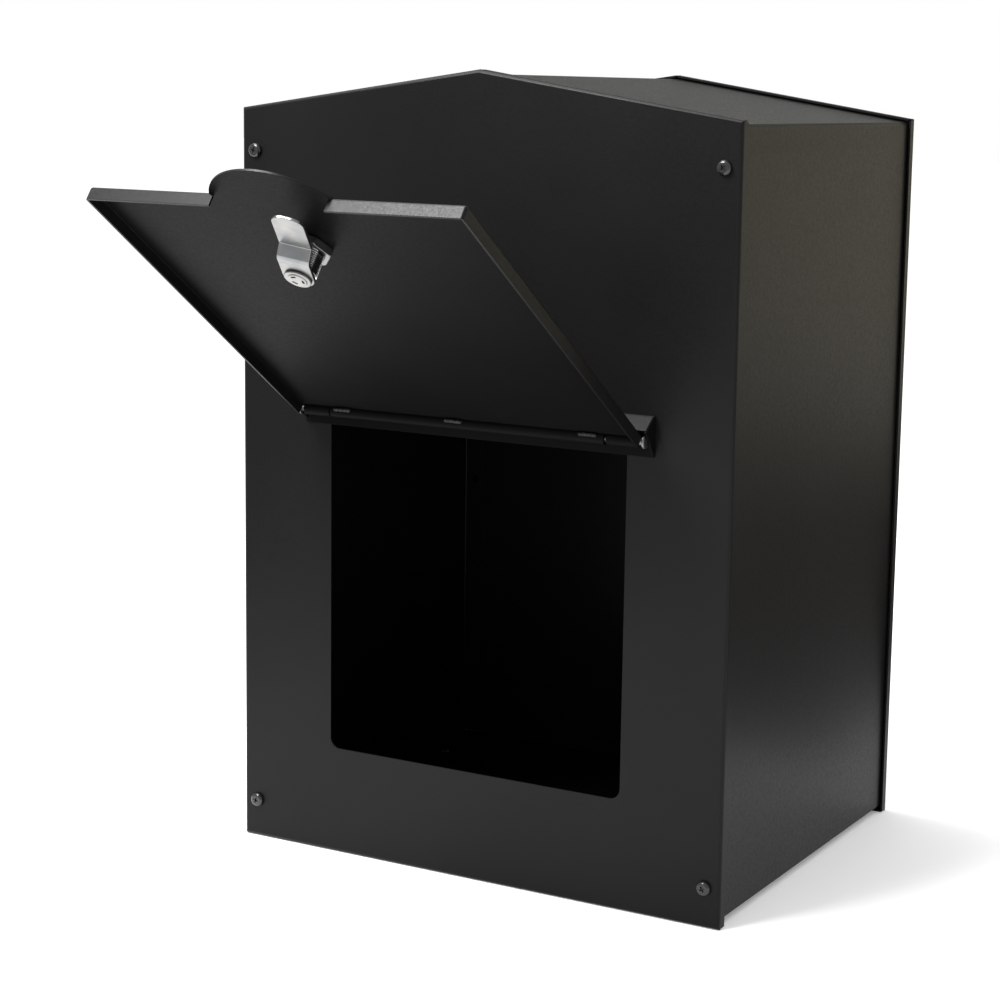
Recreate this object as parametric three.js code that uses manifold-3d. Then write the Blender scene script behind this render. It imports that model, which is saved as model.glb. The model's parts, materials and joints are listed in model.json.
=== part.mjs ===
// A parcel drop box in folded sheet steel: a front and a rear tray close a gabled sleeve, and a hatch
// that carries a cam lock hangs from a hinge under a rain hood.
// Millimetres, +Z up, the hatch faces -Y. The origin is the centre of the rear panel's outer face.
import * as THREE from "three";
import { mergeVertices } from "three/addons/utils/BufferGeometryUtils.js";
import Module from "manifold-3d";

const wasm = await Module();
wasm.setup();

// ---- Driving dimensions ----

// Box
const WIDTH = 360;
const EAVE_HEIGHT = 494;
const ROOF_RISE = 27;
const DEPTH = 284;

// Sheet and folds
const SHEET = 1.5;
const BEND_RADIUS = 2.4; // outside radius of a fold
const RETURN_DEPTH = 8; // front face of a tray to the free edge of its folded rim
const RELIEF_WIDTH = 1; // slit where two folded rims meet
const TOUCH_GAP = 0.3; // between two faces that touch
const SIDE_CLEARANCE = 0.7; // tray rim to sleeve
const ROOF_CLEARANCE = 1.2;
const SLEEVE_BOTTOM = 5; // height of the sleeve's lower edge over the base
const SLEEVE_FLANGE = 18; // how far the sleeve's end flanges turn in
const FLOOR_RIM = 13; // height of the floor pan's folded rim

// Parcel opening
const OPENING_WIDTH = 218;
const OPENING_BOTTOM = 72;
const OPENING_TOP = 298;
const OPENING_CORNER = 7;

// Hinge and hood
const HINGE_STANDOFF = 8.8; // hinge axis in front of the front panel
const HINGE_RISE = 2.9; // hinge axis over the opening's top edge
const HOOD_DROP = 7.3; // how far the hood laps down over the opening's top edge
const HOOD_RISE = 17.6; // top of the hood over the hinge axis
const LIP_REACH = 3.9; // hood's lip in front of the hinge axis
const LIP_RISE = 7.8; // hood's lip over the hinge axis
const HOOD_SIDE_GAP = 2; // hood's cheek to the door's rim
const TUBE_RADIUS = 4;
const PIN_RADIUS = 2;
const PIN_CLEARANCE = 0.25;
const PIN_HEAD = 1.3; // thickness of the pin's head and cap
const LEFT_KNUCKLE_LENGTH = 19.8;
const RIGHT_KNUCKLE_LENGTH = 20;
const LEFT_KNUCKLE_INSET = 0.8; // knuckle's outer end to the inside of the door's rim
const RIGHT_KNUCKLE_INSET = 2.5;
const LEFT_TUBE_GAP = 0.8; // knuckle to the door's tube
const RIGHT_TUBE_GAP = 1.9; // wide enough for the pin to show
const WEB_THICKNESS = 3;

// Door
const DOOR_OVERLAP = 15.5; // door past the opening, each side
const DOOR_LAP = 26.5; // door past the opening's lower edge
const DOOR_RIM = 8.6; // outer face to the free edge of the folded rim
const DOOR_FACE = 2.4; // outer face in front of the hinge axis, with the door closed
const OPEN_ANGLE = THREE.MathUtils.degToRad(125.4);
const TAB_RADIUS = 45.5;
const TAB_PROUD = 25.1; // crown of the finger tab past the door's free edge
const RIM_BREAK = 76; // length without a folded rim at the tab
const WELD_PLACES = [0.048, 0.468, 0.947]; // shares of the door tube's length
const WELD_LENGTH = 12;
const WELD_RADIUS = 1.4;

// Cam lock
const LOCK_RISE = 21.4; // lock axis over the opening's lower edge
const BARREL_RADIUS = 9.5;
const BARREL_FLAT_DEPTH = 1.5; // how deep each of its two flats is cut
const BARREL_LENGTH = 19.5; // under the head
const BARREL_WALL = 2.2;
const LOCK_HEAD_MARGIN = 2; // head past the barrel
const LOCK_HEAD_HEIGHT = 3;
const PLUG_CLEARANCE = 0.3;
const PLUG_RECESS = 0.5; // plug's face under the head's face
const PLUG_SQUARE = 8.6;
const SQUARE_CLEARANCE = 0.3;
const KEYWAY = [2.4, 14, 9]; // width, depth and height
const LOCK_NUT_MARGIN = 2.5; // flat of the nut past the barrel
const LOCK_NUT_HEIGHT = 5;
const NUT_TURN = THREE.MathUtils.degToRad(12);
const STOP_WASHER_MARGIN = 1.5; // washer inside the barrel's edge
const STOP_WASHER_THICKNESS = 1;
const CAM_THICKNESS = 2;
const CAM_WIDTH = 19;
const CAM_CATCH = 31; // how far the tongue reaches behind the front panel
const CAM_CLEARANCE = 1.1; // tongue to the front panel's inner face
const CAM_FOLD_MARGIN = 9.4; // from the barrel's edge to the cam's step
const CAM_FOLD_LENGTH = 4.5;
const CAM_TIP_CORNER = 7;
const CAM_REST_TURN = THREE.MathUtils.degToRad(19.3); // from the locked position
const CAM_SCREW_RADIUS = 8;
const CAM_SCREW_HEIGHT = 1.8;
const CAM_SCREW_SHANK = 2.4;
const CAM_SCREW_LENGTH = 8;

// Fasteners
const SCREW_INSET = 11; // screw axis to the side of the front panel
const SCREW_FOOT = 25.7; // lower screws over the base
const SCREW_BELOW_EAVE = 27.6;
const SCREW_HEAD_RADIUS = 4.75;
const SCREW_HEAD_HEIGHT = 2.7;
const SCREW_RADIUS = 2.5;
const SCREW_LENGTH = 11;
const SCREW_CLEARANCE = 0.25; // screw in its blind nut
const INSERT_FLANGE = 0.8;
const INSERT_LENGTH = 10;
const INSERT_WALL = 0.75;
const INSERT_UPSET = 1; // how far its swelling stands out
const RIVET_RADIUS = 2;
const RIVET_HEAD_RADIUS = 3.6;
const RIVET_TAIL_RADIUS = 3.1;
const RIVET_TAIL_LENGTH = 4;
const RIVET_LOWER = 208.6;
const RIVET_BELOW_EAVE = 54;
const SIDE_RIVET_INSET = 13;
const FLOOR_RIVET_INSET = 52;
const FLOOR_RIVET_HEIGHT = 12.5;
const HOLE_CLEARANCE = 0.3;
const BASE_HOLE_RADIUS = 3.5;
const BASE_HOLE_SIDE_INSET = 23;
const BASE_HOLE_END_INSET = 62;

// Values that follow from these
const ORIGIN_HEIGHT = (EAVE_HEIGHT + ROOF_RISE) / 2;
const ROOF_SLOPE = Math.atan2(ROOF_RISE, WIDTH / 2);
const SLEEVE_INSET = SHEET + SIDE_CLEARANCE;
const SLEEVE_FRONT = SHEET + INSERT_FLANGE + 2 * TOUCH_GAP;
const SLEEVE_BACK = DEPTH - SHEET - TOUCH_GAP;
const FLOOR_FRONT = SHEET + TOUCH_GAP;
const SCREW_X = WIDTH / 2 - SCREW_INSET;
const HINGE_HEIGHT = OPENING_TOP + HINGE_RISE;
const DOOR_WIDTH = OPENING_WIDTH + 2 * DOOR_OVERLAP;
const DOOR_LENGTH = HINGE_HEIGHT - OPENING_BOTTOM + DOOR_LAP;
const TAB_REACH = DOOR_LENGTH + TAB_PROUD;
const HOOD_WIDTH = DOOR_WIDTH + 2 * (HOOD_SIDE_GAP + SHEET);
const RIM_INSIDE = DOOR_WIDTH / 2 - SHEET;
const LEFT_KNUCKLE_END = -RIM_INSIDE + LEFT_KNUCKLE_INSET;
const RIGHT_KNUCKLE_END = RIM_INSIDE - RIGHT_KNUCKLE_INSET;
const LEFT_KNUCKLE = [LEFT_KNUCKLE_END, LEFT_KNUCKLE_END + LEFT_KNUCKLE_LENGTH];
const RIGHT_KNUCKLE = [RIGHT_KNUCKLE_END - RIGHT_KNUCKLE_LENGTH, RIGHT_KNUCKLE_END];
const DOOR_TUBE = [LEFT_KNUCKLE[1] + LEFT_TUBE_GAP, RIGHT_KNUCKLE[0] - RIGHT_TUBE_GAP];
const TUBE_BORE = PIN_RADIUS + PIN_CLEARANCE;
const LOCK_REACH = HINGE_HEIGHT - OPENING_BOTTOM - LOCK_RISE;
const BARREL_END = BARREL_LENGTH - DOOR_FACE - TOUCH_GAP;
const PLUG_RADIUS = BARREL_RADIUS - BARREL_WALL - PLUG_CLEARANCE;
const STOP_WASHER_RADIUS = BARREL_RADIUS - STOP_WASHER_MARGIN;
const STOP_WASHER_START = BARREL_END + TOUCH_GAP;
const CAM_START = STOP_WASHER_START + STOP_WASHER_THICKNESS + TOUCH_GAP;
const CAM_END = CAM_START + CAM_THICKNESS;
const CAM_JOGGLE = CAM_START - (HINGE_STANDOFF + SHEET + CAM_CLEARANCE);
const CAM_FOLD_START = BARREL_RADIUS + CAM_FOLD_MARGIN;
const CAM_REACH = LOCK_RISE + CAM_CATCH;
const INSERT_RADIUS = SCREW_RADIUS + SCREW_CLEARANCE + INSERT_WALL;

// ---- Materials ----

const powderCoat = new THREE.MeshStandardMaterial({ color: 0x1b1b1c, roughness: 0.5, metalness: 0.1 });
const zincPlate = new THREE.MeshStandardMaterial({ color: 0xd2d3d0, roughness: 0.25, metalness: 1 });
const blackScrew = new THREE.MeshStandardMaterial({ color: 0x141415, roughness: 0.35, metalness: 0.6 });
const bareSteel = new THREE.MeshStandardMaterial({ color: 0xb8b8b4, roughness: 0.35, metalness: 1 });
const rivetAluminium = new THREE.MeshStandardMaterial({ color: 0x55565a, roughness: 0.4, metalness: 0.9 });

// ---- Solids ----

const CIRCLE_STEPS = 12; // half the sides of a round outline
const LATHE_SIDES = 24;
const FOLD_STEPS = 4;

function solid(geometry) {
  const loose = geometry.index ? geometry.toNonIndexed() : geometry;
  const bare = new THREE.BufferGeometry().setAttribute("position", loose.getAttribute("position"));
  const merged = mergeVertices(bare, 1e-4);
  return new wasm.Manifold(
    new wasm.Mesh({
      numProp: 3,
      vertProperties: merged.attributes.position.array,
      triVerts: new Uint32Array(merged.index.array),
    }),
  );
}

function named(name, shape, material) {
  const raw = shape.getMesh();
  const geometry = new THREE.BufferGeometry();
  geometry.setAttribute("position", new THREE.BufferAttribute(raw.vertProperties, 3));
  geometry.setIndex(new THREE.BufferAttribute(raw.triVerts, 1));
  geometry.computeVertexNormals();
  const mesh = new THREE.Mesh(geometry, material);
  mesh.name = name;
  return mesh;
}

function extruded(shape, depth) {
  return new THREE.ExtrudeGeometry(shape, { depth, bevelEnabled: false, curveSegments: CIRCLE_STEPS });
}

// A shape drawn in Y and Z, from one X to another.
function alongX(shape, from, to) {
  return solid(extruded(shape, to - from).rotateY(Math.PI / 2).rotateX(Math.PI / 2).translate(from, 0, 0));
}

// A shape drawn in X and Z, from one Y to another.
function alongY(shape, from, to) {
  return solid(extruded(shape, to - from).rotateX(Math.PI / 2).translate(0, to, 0));
}

// A shape drawn in X and Y, from one Z to another.
function alongZ(shape, from, to) {
  return solid(extruded(shape, to - from).translate(0, 0, from));
}

function block([x0, y0, z0], [x1, y1, z1]) {
  const box = new THREE.BoxGeometry(x1 - x0, y1 - y0, z1 - z0);
  return solid(box.translate((x0 + x1) / 2, (y0 + y1) / 2, (z0 + z1) / 2));
}

// A turned solid about the Y axis, from [radius, y] pairs that run round the section anticlockwise.
function turned(profile) {
  const points = profile.map(([radius, y]) => new THREE.Vector2(radius, y));
  return solid(new THREE.LatheGeometry(points, LATHE_SIDES));
}

function ringSection(inner, outer, from, to) {
  return [[inner, from], [outer, from], [outer, to], [inner, to], [inner, from]];
}

function rodSection(radius, from, to) {
  return [[0, from], [radius, from], [radius, to], [0, to]];
}

function polygon(points) {
  return new THREE.Shape(points.map(([a, b]) => new THREE.Vector2(a, b)));
}

function rectangle(a0, b0, a1, b1) {
  return polygon([[a0, b0], [a1, b0], [a1, b1], [a0, b1]]);
}

function disc(radius, a = 0, b = 0) {
  const shape = new THREE.Shape();
  shape.absarc(a, b, radius, 0, 2 * Math.PI);
  return shape;
}

function roundedRectangle(a0, b0, a1, b1, radius) {
  const shape = new THREE.Shape();
  shape.absarc(a1 - radius, b0 + radius, radius, -Math.PI / 2, 0);
  shape.absarc(a1 - radius, b1 - radius, radius, 0, Math.PI / 2);
  shape.absarc(a0 + radius, b1 - radius, radius, Math.PI / 2, Math.PI);
  shape.absarc(a0 + radius, b0 + radius, radius, Math.PI, 1.5 * Math.PI);
  return shape;
}

// ---- Folded sheet ----

// Points of an open path moved sideways, to the left of its direction, with mitred corners.
function offsetPath(path, distance) {
  const normals = path.slice(1).map((point, i) => {
    const run = new THREE.Vector2().subVectors(point, path[i]).normalize();
    return new THREE.Vector2(-run.y, run.x);
  });
  return path.map((point, i) => {
    const before = normals[Math.max(i - 1, 0)];
    const after = normals[Math.min(i, normals.length - 1)];
    const mitre = new THREE.Vector2().addVectors(before, after).normalize();
    return point.clone().addScaledVector(mitre, distance / mitre.dot(after));
  });
}

// The corner between two straight runs, rounded to a radius.
function roundedCorner(previous, corner, next, radius) {
  const back = new THREE.Vector2().subVectors(previous, corner).normalize();
  const ahead = new THREE.Vector2().subVectors(next, corner).normalize();
  const half = Math.acos(back.dot(ahead)) / 2;
  const bisector = new THREE.Vector2().addVectors(back, ahead).normalize();
  const centre = corner.clone().addScaledVector(bisector, radius / Math.sin(half));
  const first = corner.clone().addScaledVector(back, radius / Math.tan(half)).sub(centre);
  const turn = Math.sign(back.cross(ahead)) * (2 * half - Math.PI);
  const origin = new THREE.Vector2();
  return Array.from({ length: FOLD_STEPS + 1 }, (_, i) =>
    first.clone().rotateAround(origin, (turn * i) / FOLD_STEPS).add(centre),
  );
}

// The section of a sheet folded along a path: the path is one face, the other lies to its left.
function foldedSection(points, thickness) {
  const path = points.map(([a, b]) => new THREE.Vector2(a, b));
  const other = offsetPath(path, thickness);
  const side = (face, leftward) =>
    face.flatMap((corner, i) => {
      if (i === 0 || i === face.length - 1) return [corner];
      const runIn = new THREE.Vector2().subVectors(corner, face[i - 1]);
      const runOut = new THREE.Vector2().subVectors(face[i + 1], corner);
      const outside = runIn.cross(runOut) > 0 !== leftward;
      const radius = outside ? BEND_RADIUS : BEND_RADIUS - thickness;
      return roundedCorner(face[i - 1], corner, face[i + 1], Math.max(radius, 0.3));
    });
  return new THREE.Shape([...side(path, false), ...side(other, true).reverse()]);
}

// A tray: its face lies at Z = 0 and its rim is folded up all round to the given depth.
function tray(outline, depth) {
  const bevelled = (inset, radius, start) =>
    solid(
      new THREE.ExtrudeGeometry(outline, {
        depth: depth + BEND_RADIUS,
        bevelThickness: radius,
        bevelSize: radius,
        bevelOffset: -inset - radius,
        bevelSegments: FOLD_STEPS,
      }).translate(0, 0, start + radius),
    );
  const outside = bevelled(0, BEND_RADIUS, 0);
  const inside = bevelled(SHEET, BEND_RADIUS - SHEET, SHEET);
  const far = 10 * depth;
  const beyond = block([-WIDTH, -2 * EAVE_HEIGHT, depth], [WIDTH, 2 * EAVE_HEIGHT, far]);
  return outside.subtract(inside).subtract(beyond);
}

// ---- Trays of the box ----

const gable = polygon([
  [-WIDTH / 2, 0],
  [WIDTH / 2, 0],
  [WIDTH / 2, EAVE_HEIGHT],
  [0, EAVE_HEIGHT + ROOF_RISE],
  [-WIDTH / 2, EAVE_HEIGHT],
]);

// Slits in the rim at each corner of the gable, where the folded strips meet.
function reliefs() {
  const corners = [
    [-WIDTH / 2, 0, Math.PI / 4],
    [WIDTH / 2, 0, (3 * Math.PI) / 4],
    [WIDTH / 2, EAVE_HEIGHT, -(3 * Math.PI) / 4 - ROOF_SLOPE / 2],
    [0, EAVE_HEIGHT + ROOF_RISE, -Math.PI / 2],
    [-WIDTH / 2, EAVE_HEIGHT, -Math.PI / 4 + ROOF_SLOPE / 2],
  ];
  const reach = 3 * BEND_RADIUS;
  return corners.map(([x, z, angle]) => {
    const slit = new THREE.BoxGeometry(2 * reach, RELIEF_WIDTH, RETURN_DEPTH);
    slit.rotateZ(angle).translate(x, z, BEND_RADIUS + RETURN_DEPTH / 2 + TOUCH_GAP);
    return solid(slit);
  });
}

function gableTray() {
  return reliefs().reduce((shell, slit) => shell.subtract(slit), tray(gable, RETURN_DEPTH));
}

function screwPlaces() {
  const heights = [SCREW_FOOT, EAVE_HEIGHT - SCREW_BELOW_EAVE];
  return heights.flatMap((z) => [-SCREW_X, SCREW_X].map((x) => [x, z]));
}

function rivetPlaces() {
  const sideX = WIDTH / 2 - SIDE_RIVET_INSET;
  const floorX = WIDTH / 2 - FLOOR_RIVET_INSET;
  const rows = [
    [floorX, FLOOR_RIVET_HEIGHT],
    [sideX, RIVET_LOWER],
    [sideX, EAVE_HEIGHT - RIVET_BELOW_EAVE],
  ];
  return rows.flatMap(([x, z]) => [[-x, z], [x, z]]);
}

// Round holes through a piece that stands in X and Z.
function drilled(shape, places, radius, from, to) {
  return places.reduce((left, [x, z]) => left.subtract(alongY(disc(radius, x, z), from, to)), shape);
}

function frontPanel() {
  const half = OPENING_WIDTH / 2;
  const opening = roundedRectangle(-half, OPENING_BOTTOM, half, OPENING_TOP, OPENING_CORNER);
  const shell = gableTray().rotate([90, 0, 0]).rotate([0, 0, 180]);
  const cut = shell.subtract(alongY(opening, -1, RETURN_DEPTH));
  return drilled(cut, screwPlaces(), SCREW_RADIUS + HOLE_CLEARANCE, -1, RETURN_DEPTH);
}

function rearPanel() {
  const shell = gableTray().rotate([90, 0, 0]).translate([0, DEPTH, 0]);
  const throat = RIVET_RADIUS + HOLE_CLEARANCE;
  const mouth = RIVET_HEAD_RADIUS + HOLE_CLEARANCE;
  const countersink = [
    [0, DEPTH - 2 * SHEET],
    [throat, DEPTH - 2 * SHEET],
    [throat, DEPTH - SHEET],
    [mouth, DEPTH],
    [mouth, DEPTH + 1],
    [0, DEPTH + 1],
  ];
  return rivetPlaces().reduce(
    (left, [x, z]) => left.subtract(turned(countersink).translate([x, 0, z])),
    shell,
  );
}

// ---- Sleeve and floor ----

function bodySleeve() {
  const half = WIDTH / 2 - SLEEVE_INSET;
  const drop = (SHEET + ROOF_CLEARANCE) / Math.cos(ROOF_SLOPE);
  const eave = EAVE_HEIGHT - drop + SLEEVE_INSET * Math.tan(ROOF_SLOPE);
  const ridge = EAVE_HEIGHT + ROOF_RISE - drop;
  const section = foldedSection(
    [[half, SLEEVE_BOTTOM], [half, eave], [0, ridge], [-half, eave], [-half, SLEEVE_BOTTOM]],
    SHEET,
  );
  const flangeTop = eave - SLEEVE_FLANGE;
  const flangeBottom = SLEEVE_BOTTOM + 2 * SHEET;
  const flange = (x, y) =>
    block(
      [Math.min(x, x - Math.sign(x) * SLEEVE_FLANGE), y, flangeBottom],
      [Math.max(x, x - Math.sign(x) * SLEEVE_FLANGE), y + SHEET, flangeTop],
    );
  const wall = half - SHEET / 2;
  const shell = [-wall, wall]
    .flatMap((x) => [flange(x, SLEEVE_FRONT), flange(x, SLEEVE_BACK - SHEET)])
    .reduce((left, strip) => left.add(strip), alongY(section, SLEEVE_FRONT, SLEEVE_BACK));
  const middle = DEPTH / 2;
  const forInserts = drilled(shell, screwPlaces(), INSERT_RADIUS + HOLE_CLEARANCE, 0, middle);
  return drilled(forInserts, rivetPlaces(), RIVET_RADIUS + HOLE_CLEARANCE, middle, DEPTH);
}

function floorPan() {
  const half = WIDTH / 2 - SLEEVE_INSET - SHEET - TOUCH_GAP;
  const outline = rectangle(-half, FLOOR_FRONT, half, SLEEVE_BACK);
  const pan = tray(outline, FLOOR_RIM).translate([0, 0, SLEEVE_BOTTOM]);
  const notch = WIDTH / 2 - SLEEVE_INSET - SLEEVE_FLANGE - SHEET;
  const frontNotch = SLEEVE_FRONT + SHEET + TOUCH_GAP;
  const rearNotch = SLEEVE_BACK - SHEET - TOUCH_GAP;
  const corners = [-1, 1].flatMap((end) => {
    const [x0, x1] = [end * notch, end * WIDTH].sort((a, b) => a - b);
    return [
      block([x0, -1, -1], [x1, frontNotch, EAVE_HEIGHT]),
      block([x0, rearNotch, -1], [x1, DEPTH + 1, EAVE_HEIGHT]),
    ];
  });
  const notched = corners.reduce((left, corner) => left.subtract(corner), pan);
  const riveted = drilled(notched, rivetPlaces(), RIVET_RADIUS + HOLE_CLEARANCE, DEPTH / 2, DEPTH);
  const holeX = WIDTH / 2 - BASE_HOLE_SIDE_INSET;
  const holeY = DEPTH / 2 - BASE_HOLE_END_INSET;
  const baseHoles = [-1, 1].flatMap((i) => [-1, 1].map((j) => [i * holeX, DEPTH / 2 + j * holeY]));
  return baseHoles.reduce(
    (left, [x, y]) => left.subtract(alongZ(disc(BASE_HOLE_RADIUS, x, y), 0, SLEEVE_BOTTOM + 2 * SHEET)),
    riveted,
  );
}

// ---- Hood and hinge ----

// The hood lies on the front panel, slopes out to a lip over the hinge, and is closed by two cheeks.
function hingeHood() {
  const back = -TOUCH_GAP;
  const foot = OPENING_TOP - HOOD_DROP;
  const top = HINGE_HEIGHT + HOOD_RISE;
  const lip = [-HINGE_STANDOFF - LIP_REACH, HINGE_HEIGHT + LIP_RISE];
  const section = foldedSection([[back, foot], [back, top], lip], SHEET);
  const cheek = polygon([[back, foot], [back, top - SHEET], [lip[0], lip[1] - SHEET / 2]]);
  const end = HOOD_WIDTH / 2;
  return alongX(section, -end, end)
    .add(alongX(cheek, -end, SHEET - end))
    .add(alongX(cheek, end - SHEET, end));
}

function tubeSection() {
  const ring = disc(TUBE_RADIUS);
  ring.holes.push(disc(TUBE_BORE));
  return ring;
}

// A fixed knuckle: a length of tube on a web that is welded to the hood. Its axis is X.
function fixedKnuckle([from, to]) {
  const webEnd = HINGE_STANDOFF - SHEET - 2 * TOUCH_GAP;
  const webStart = (TUBE_RADIUS + TUBE_BORE) / 2;
  const web = rectangle(webStart, -WEB_THICKNESS / 2, webEnd, WEB_THICKNESS / 2);
  return alongX(tubeSection(), from, to).add(alongX(web, from, to));
}

const pinEnd = HOOD_WIDTH / 2 - SHEET - TOUCH_GAP;

function hingePin() {
  const head = [
    [0, -pinEnd],
    [PIN_RADIUS, -pinEnd],
    [PIN_RADIUS, pinEnd - PIN_HEAD],
    [TUBE_RADIUS, pinEnd - PIN_HEAD],
    [TUBE_RADIUS, pinEnd],
    [0, pinEnd],
  ];
  return turned(head).rotate([0, 0, -90]);
}

function pinCap() {
  return turned(ringSection(TUBE_BORE, TUBE_RADIUS, -pinEnd, PIN_HEAD - pinEnd)).rotate([0, 0, -90]);
}

// ---- Door, in its closed place, with the hinge axis at the origin ----

function doorPanel() {
  const half = DOOR_WIDTH / 2;
  const sheetEnd = -Math.sqrt(TUBE_RADIUS ** 2 - (DOOR_FACE - SHEET) ** 2) - TOUCH_GAP;
  const spare = 2 * DOOR_RIM; // the tray is made longer than the door, and this end is cut off
  const inner = SHEET - DOOR_FACE;
  const shell = tray(rectangle(-half, -DOOR_LENGTH, half, spare), DOOR_RIM)
    .rotate([90, 0, 0])
    .rotate([0, 0, 180])
    .translate([0, -DOOR_FACE, 0])
    .subtract(block([-WIDTH, -DOOR_LENGTH, sheetEnd], [WIDTH, DOOR_LENGTH, 3 * spare]));
  const rimFoot = BEND_RADIUS + 2 * SHEET;
  const rimBreak = block(
    [-RIM_BREAK / 2, inner, -DOOR_LENGTH - 1],
    [RIM_BREAK / 2, DOOR_RIM, -DOOR_LENGTH + rimFoot],
  );
  const tabCentre = TAB_RADIUS - TAB_REACH;
  const root = Math.asin((-DOOR_LENGTH + rimFoot - tabCentre) / TAB_RADIUS);
  const tab = new THREE.Shape();
  tab.absarc(0, tabCentre, TAB_RADIUS, Math.PI - root, 2 * Math.PI + root);
  const hole = lockSection(HOLE_CLEARANCE);
  return shell
    .subtract(rimBreak)
    .add(alongY(tab, -DOOR_FACE, inner))
    .subtract(alongY(hole, -DOOR_FACE - 1, DOOR_RIM).translate([0, 0, -LOCK_REACH]));
}

// The tube on the door, with the three tack welds that join it to the sheet's edge.
function doorHingeTube() {
  const beadPlace = [0, WELD_RADIUS + TOUCH_GAP + SHEET - DOOR_FACE, -TUBE_RADIUS - TOUCH_GAP];
  const [from, to] = DOOR_TUBE;
  return WELD_PLACES.reduce((left, share) => {
    const x = from + share * (to - from);
    const bead = alongX(disc(WELD_RADIUS), x - WELD_LENGTH / 2, x + WELD_LENGTH / 2);
    return left.add(bead.translate(beadPlace));
  }, alongX(tubeSection(), from, to));
}

// ---- Cam lock: its axis is Y, and +Y runs from the door's outer face into the box ----

// The barrel's section, a circle with two flats across X, grown all round by a margin.
function lockSection(margin) {
  const radius = BARREL_RADIUS + margin;
  const angle = Math.acos((radius - BARREL_FLAT_DEPTH) / radius);
  const shape = new THREE.Shape();
  shape.absarc(0, 0, radius, angle, Math.PI - angle);
  shape.absarc(0, 0, radius, Math.PI + angle, 2 * Math.PI - angle);
  return shape;
}

function lockBarrel() {
  const face = -DOOR_FACE - TOUCH_GAP;
  const crown = face - LOCK_HEAD_HEIGHT;
  const radius = BARREL_RADIUS + LOCK_HEAD_MARGIN;
  const chamfer = LOCK_HEAD_HEIGHT / 3;
  const head = turned([
    [0, crown],
    [radius - chamfer, crown],
    [radius, crown + chamfer],
    [radius, face],
    [0, face],
  ]);
  const body = alongY(lockSection(0), face - SHEET, BARREL_END);
  const bore = alongY(disc(PLUG_RADIUS + PLUG_CLEARANCE), crown - 1, BARREL_END + 1);
  return head.add(body).subtract(bore);
}

function lockPlug() {
  const face = -DOOR_FACE - TOUCH_GAP - LOCK_HEAD_HEIGHT + PLUG_RECESS;
  const square = PLUG_SQUARE / 2;
  const [keyWidth, keyDepth, keyHeight] = KEYWAY;
  const keyway = block(
    [-keyWidth / 2, face - 1, -keyHeight / 2],
    [keyWidth / 2, face + keyDepth, keyHeight / 2],
  );
  const holeStart = CAM_END - CAM_SCREW_LENGTH;
  const screwHole = alongY(disc(CAM_SCREW_SHANK + HOLE_CLEARANCE), holeStart, CAM_END + 1);
  return turned(rodSection(PLUG_RADIUS, face, BARREL_END))
    .add(block([-square, BARREL_END - 1, -square], [square, CAM_END, square]))
    .subtract(keyway)
    .subtract(screwHole);
}

function squareHole() {
  const half = PLUG_SQUARE / 2 + SQUARE_CLEARANCE;
  return block([-half, 0, -half], [half, CAM_END + 1, half]);
}

function lockNut() {
  const across = (BARREL_RADIUS + LOCK_NUT_MARGIN) / Math.cos(Math.PI / 6);
  const hexagon = Array.from({ length: 6 }, (_, i) => [
    across * Math.cos(NUT_TURN + (i * Math.PI) / 3),
    across * Math.sin(NUT_TURN + (i * Math.PI) / 3),
  ]);
  const start = SHEET - DOOR_FACE + TOUCH_GAP;
  const shape = polygon(hexagon);
  shape.holes.push(disc(BARREL_RADIUS + HOLE_CLEARANCE));
  return alongY(shape, start, start + LOCK_NUT_HEIGHT);
}

function lockStopWasher() {
  const end = STOP_WASHER_START + STOP_WASHER_THICKNESS;
  return turned(rodSection(STOP_WASHER_RADIUS, STOP_WASHER_START, end)).subtract(squareHole());
}

// The cam points along -Z in its locked position, and steps towards the door on its way to the tip.
function lockCam() {
  const half = CAM_WIDTH / 2;
  const section = foldedSection(
    [
      [CAM_REACH + 1, CAM_END - CAM_JOGGLE],
      [CAM_FOLD_START + CAM_FOLD_LENGTH, CAM_END - CAM_JOGGLE],
      [CAM_FOLD_START, CAM_END],
      [-half - 1, CAM_END],
    ],
    CAM_THICKNESS,
  );
  const strip = solid(extruded(section, CAM_WIDTH).rotateY(Math.PI / 2).translate(-half, 0, 0));
  const outline = new THREE.Shape();
  const corner = half - CAM_TIP_CORNER;
  const shoulder = CAM_TIP_CORNER - CAM_REACH;
  outline.absarc(0, 0, half, 0, Math.PI);
  outline.absarc(-corner, shoulder, CAM_TIP_CORNER, Math.PI, 1.5 * Math.PI);
  outline.absarc(corner, shoulder, CAM_TIP_CORNER, 1.5 * Math.PI, 2 * Math.PI);
  return strip.intersect(alongY(outline, 0, CAM_END + 1)).subtract(squareHole());
}

function lockCamScrew() {
  const seat = CAM_END + TOUCH_GAP;
  const top = seat + CAM_SCREW_HEIGHT;
  const end = seat - CAM_SCREW_LENGTH;
  const chamfer = CAM_SCREW_HEIGHT / 3;
  const screw = turned([
    [0, end],
    [CAM_SCREW_SHANK, end],
    [CAM_SCREW_SHANK, seat],
    [CAM_SCREW_RADIUS, seat],
    [CAM_SCREW_RADIUS, top - chamfer],
    [CAM_SCREW_RADIUS - chamfer, top],
    [0, top],
  ]);
  const notchSize = [0.42, 0.15, 0.15].map((share) => share * CAM_SCREW_RADIUS);
  const notch = new THREE.BoxGeometry(...notchSize).translate(0, top, 0.55 * CAM_SCREW_RADIUS);
  return [90, 210, 330].reduce(
    (left, angle) => left.subtract(solid(notch).rotate([0, angle, 0])),
    screw,
  );
}

// ---- Fasteners of the box: their axes are Y ----

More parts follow.
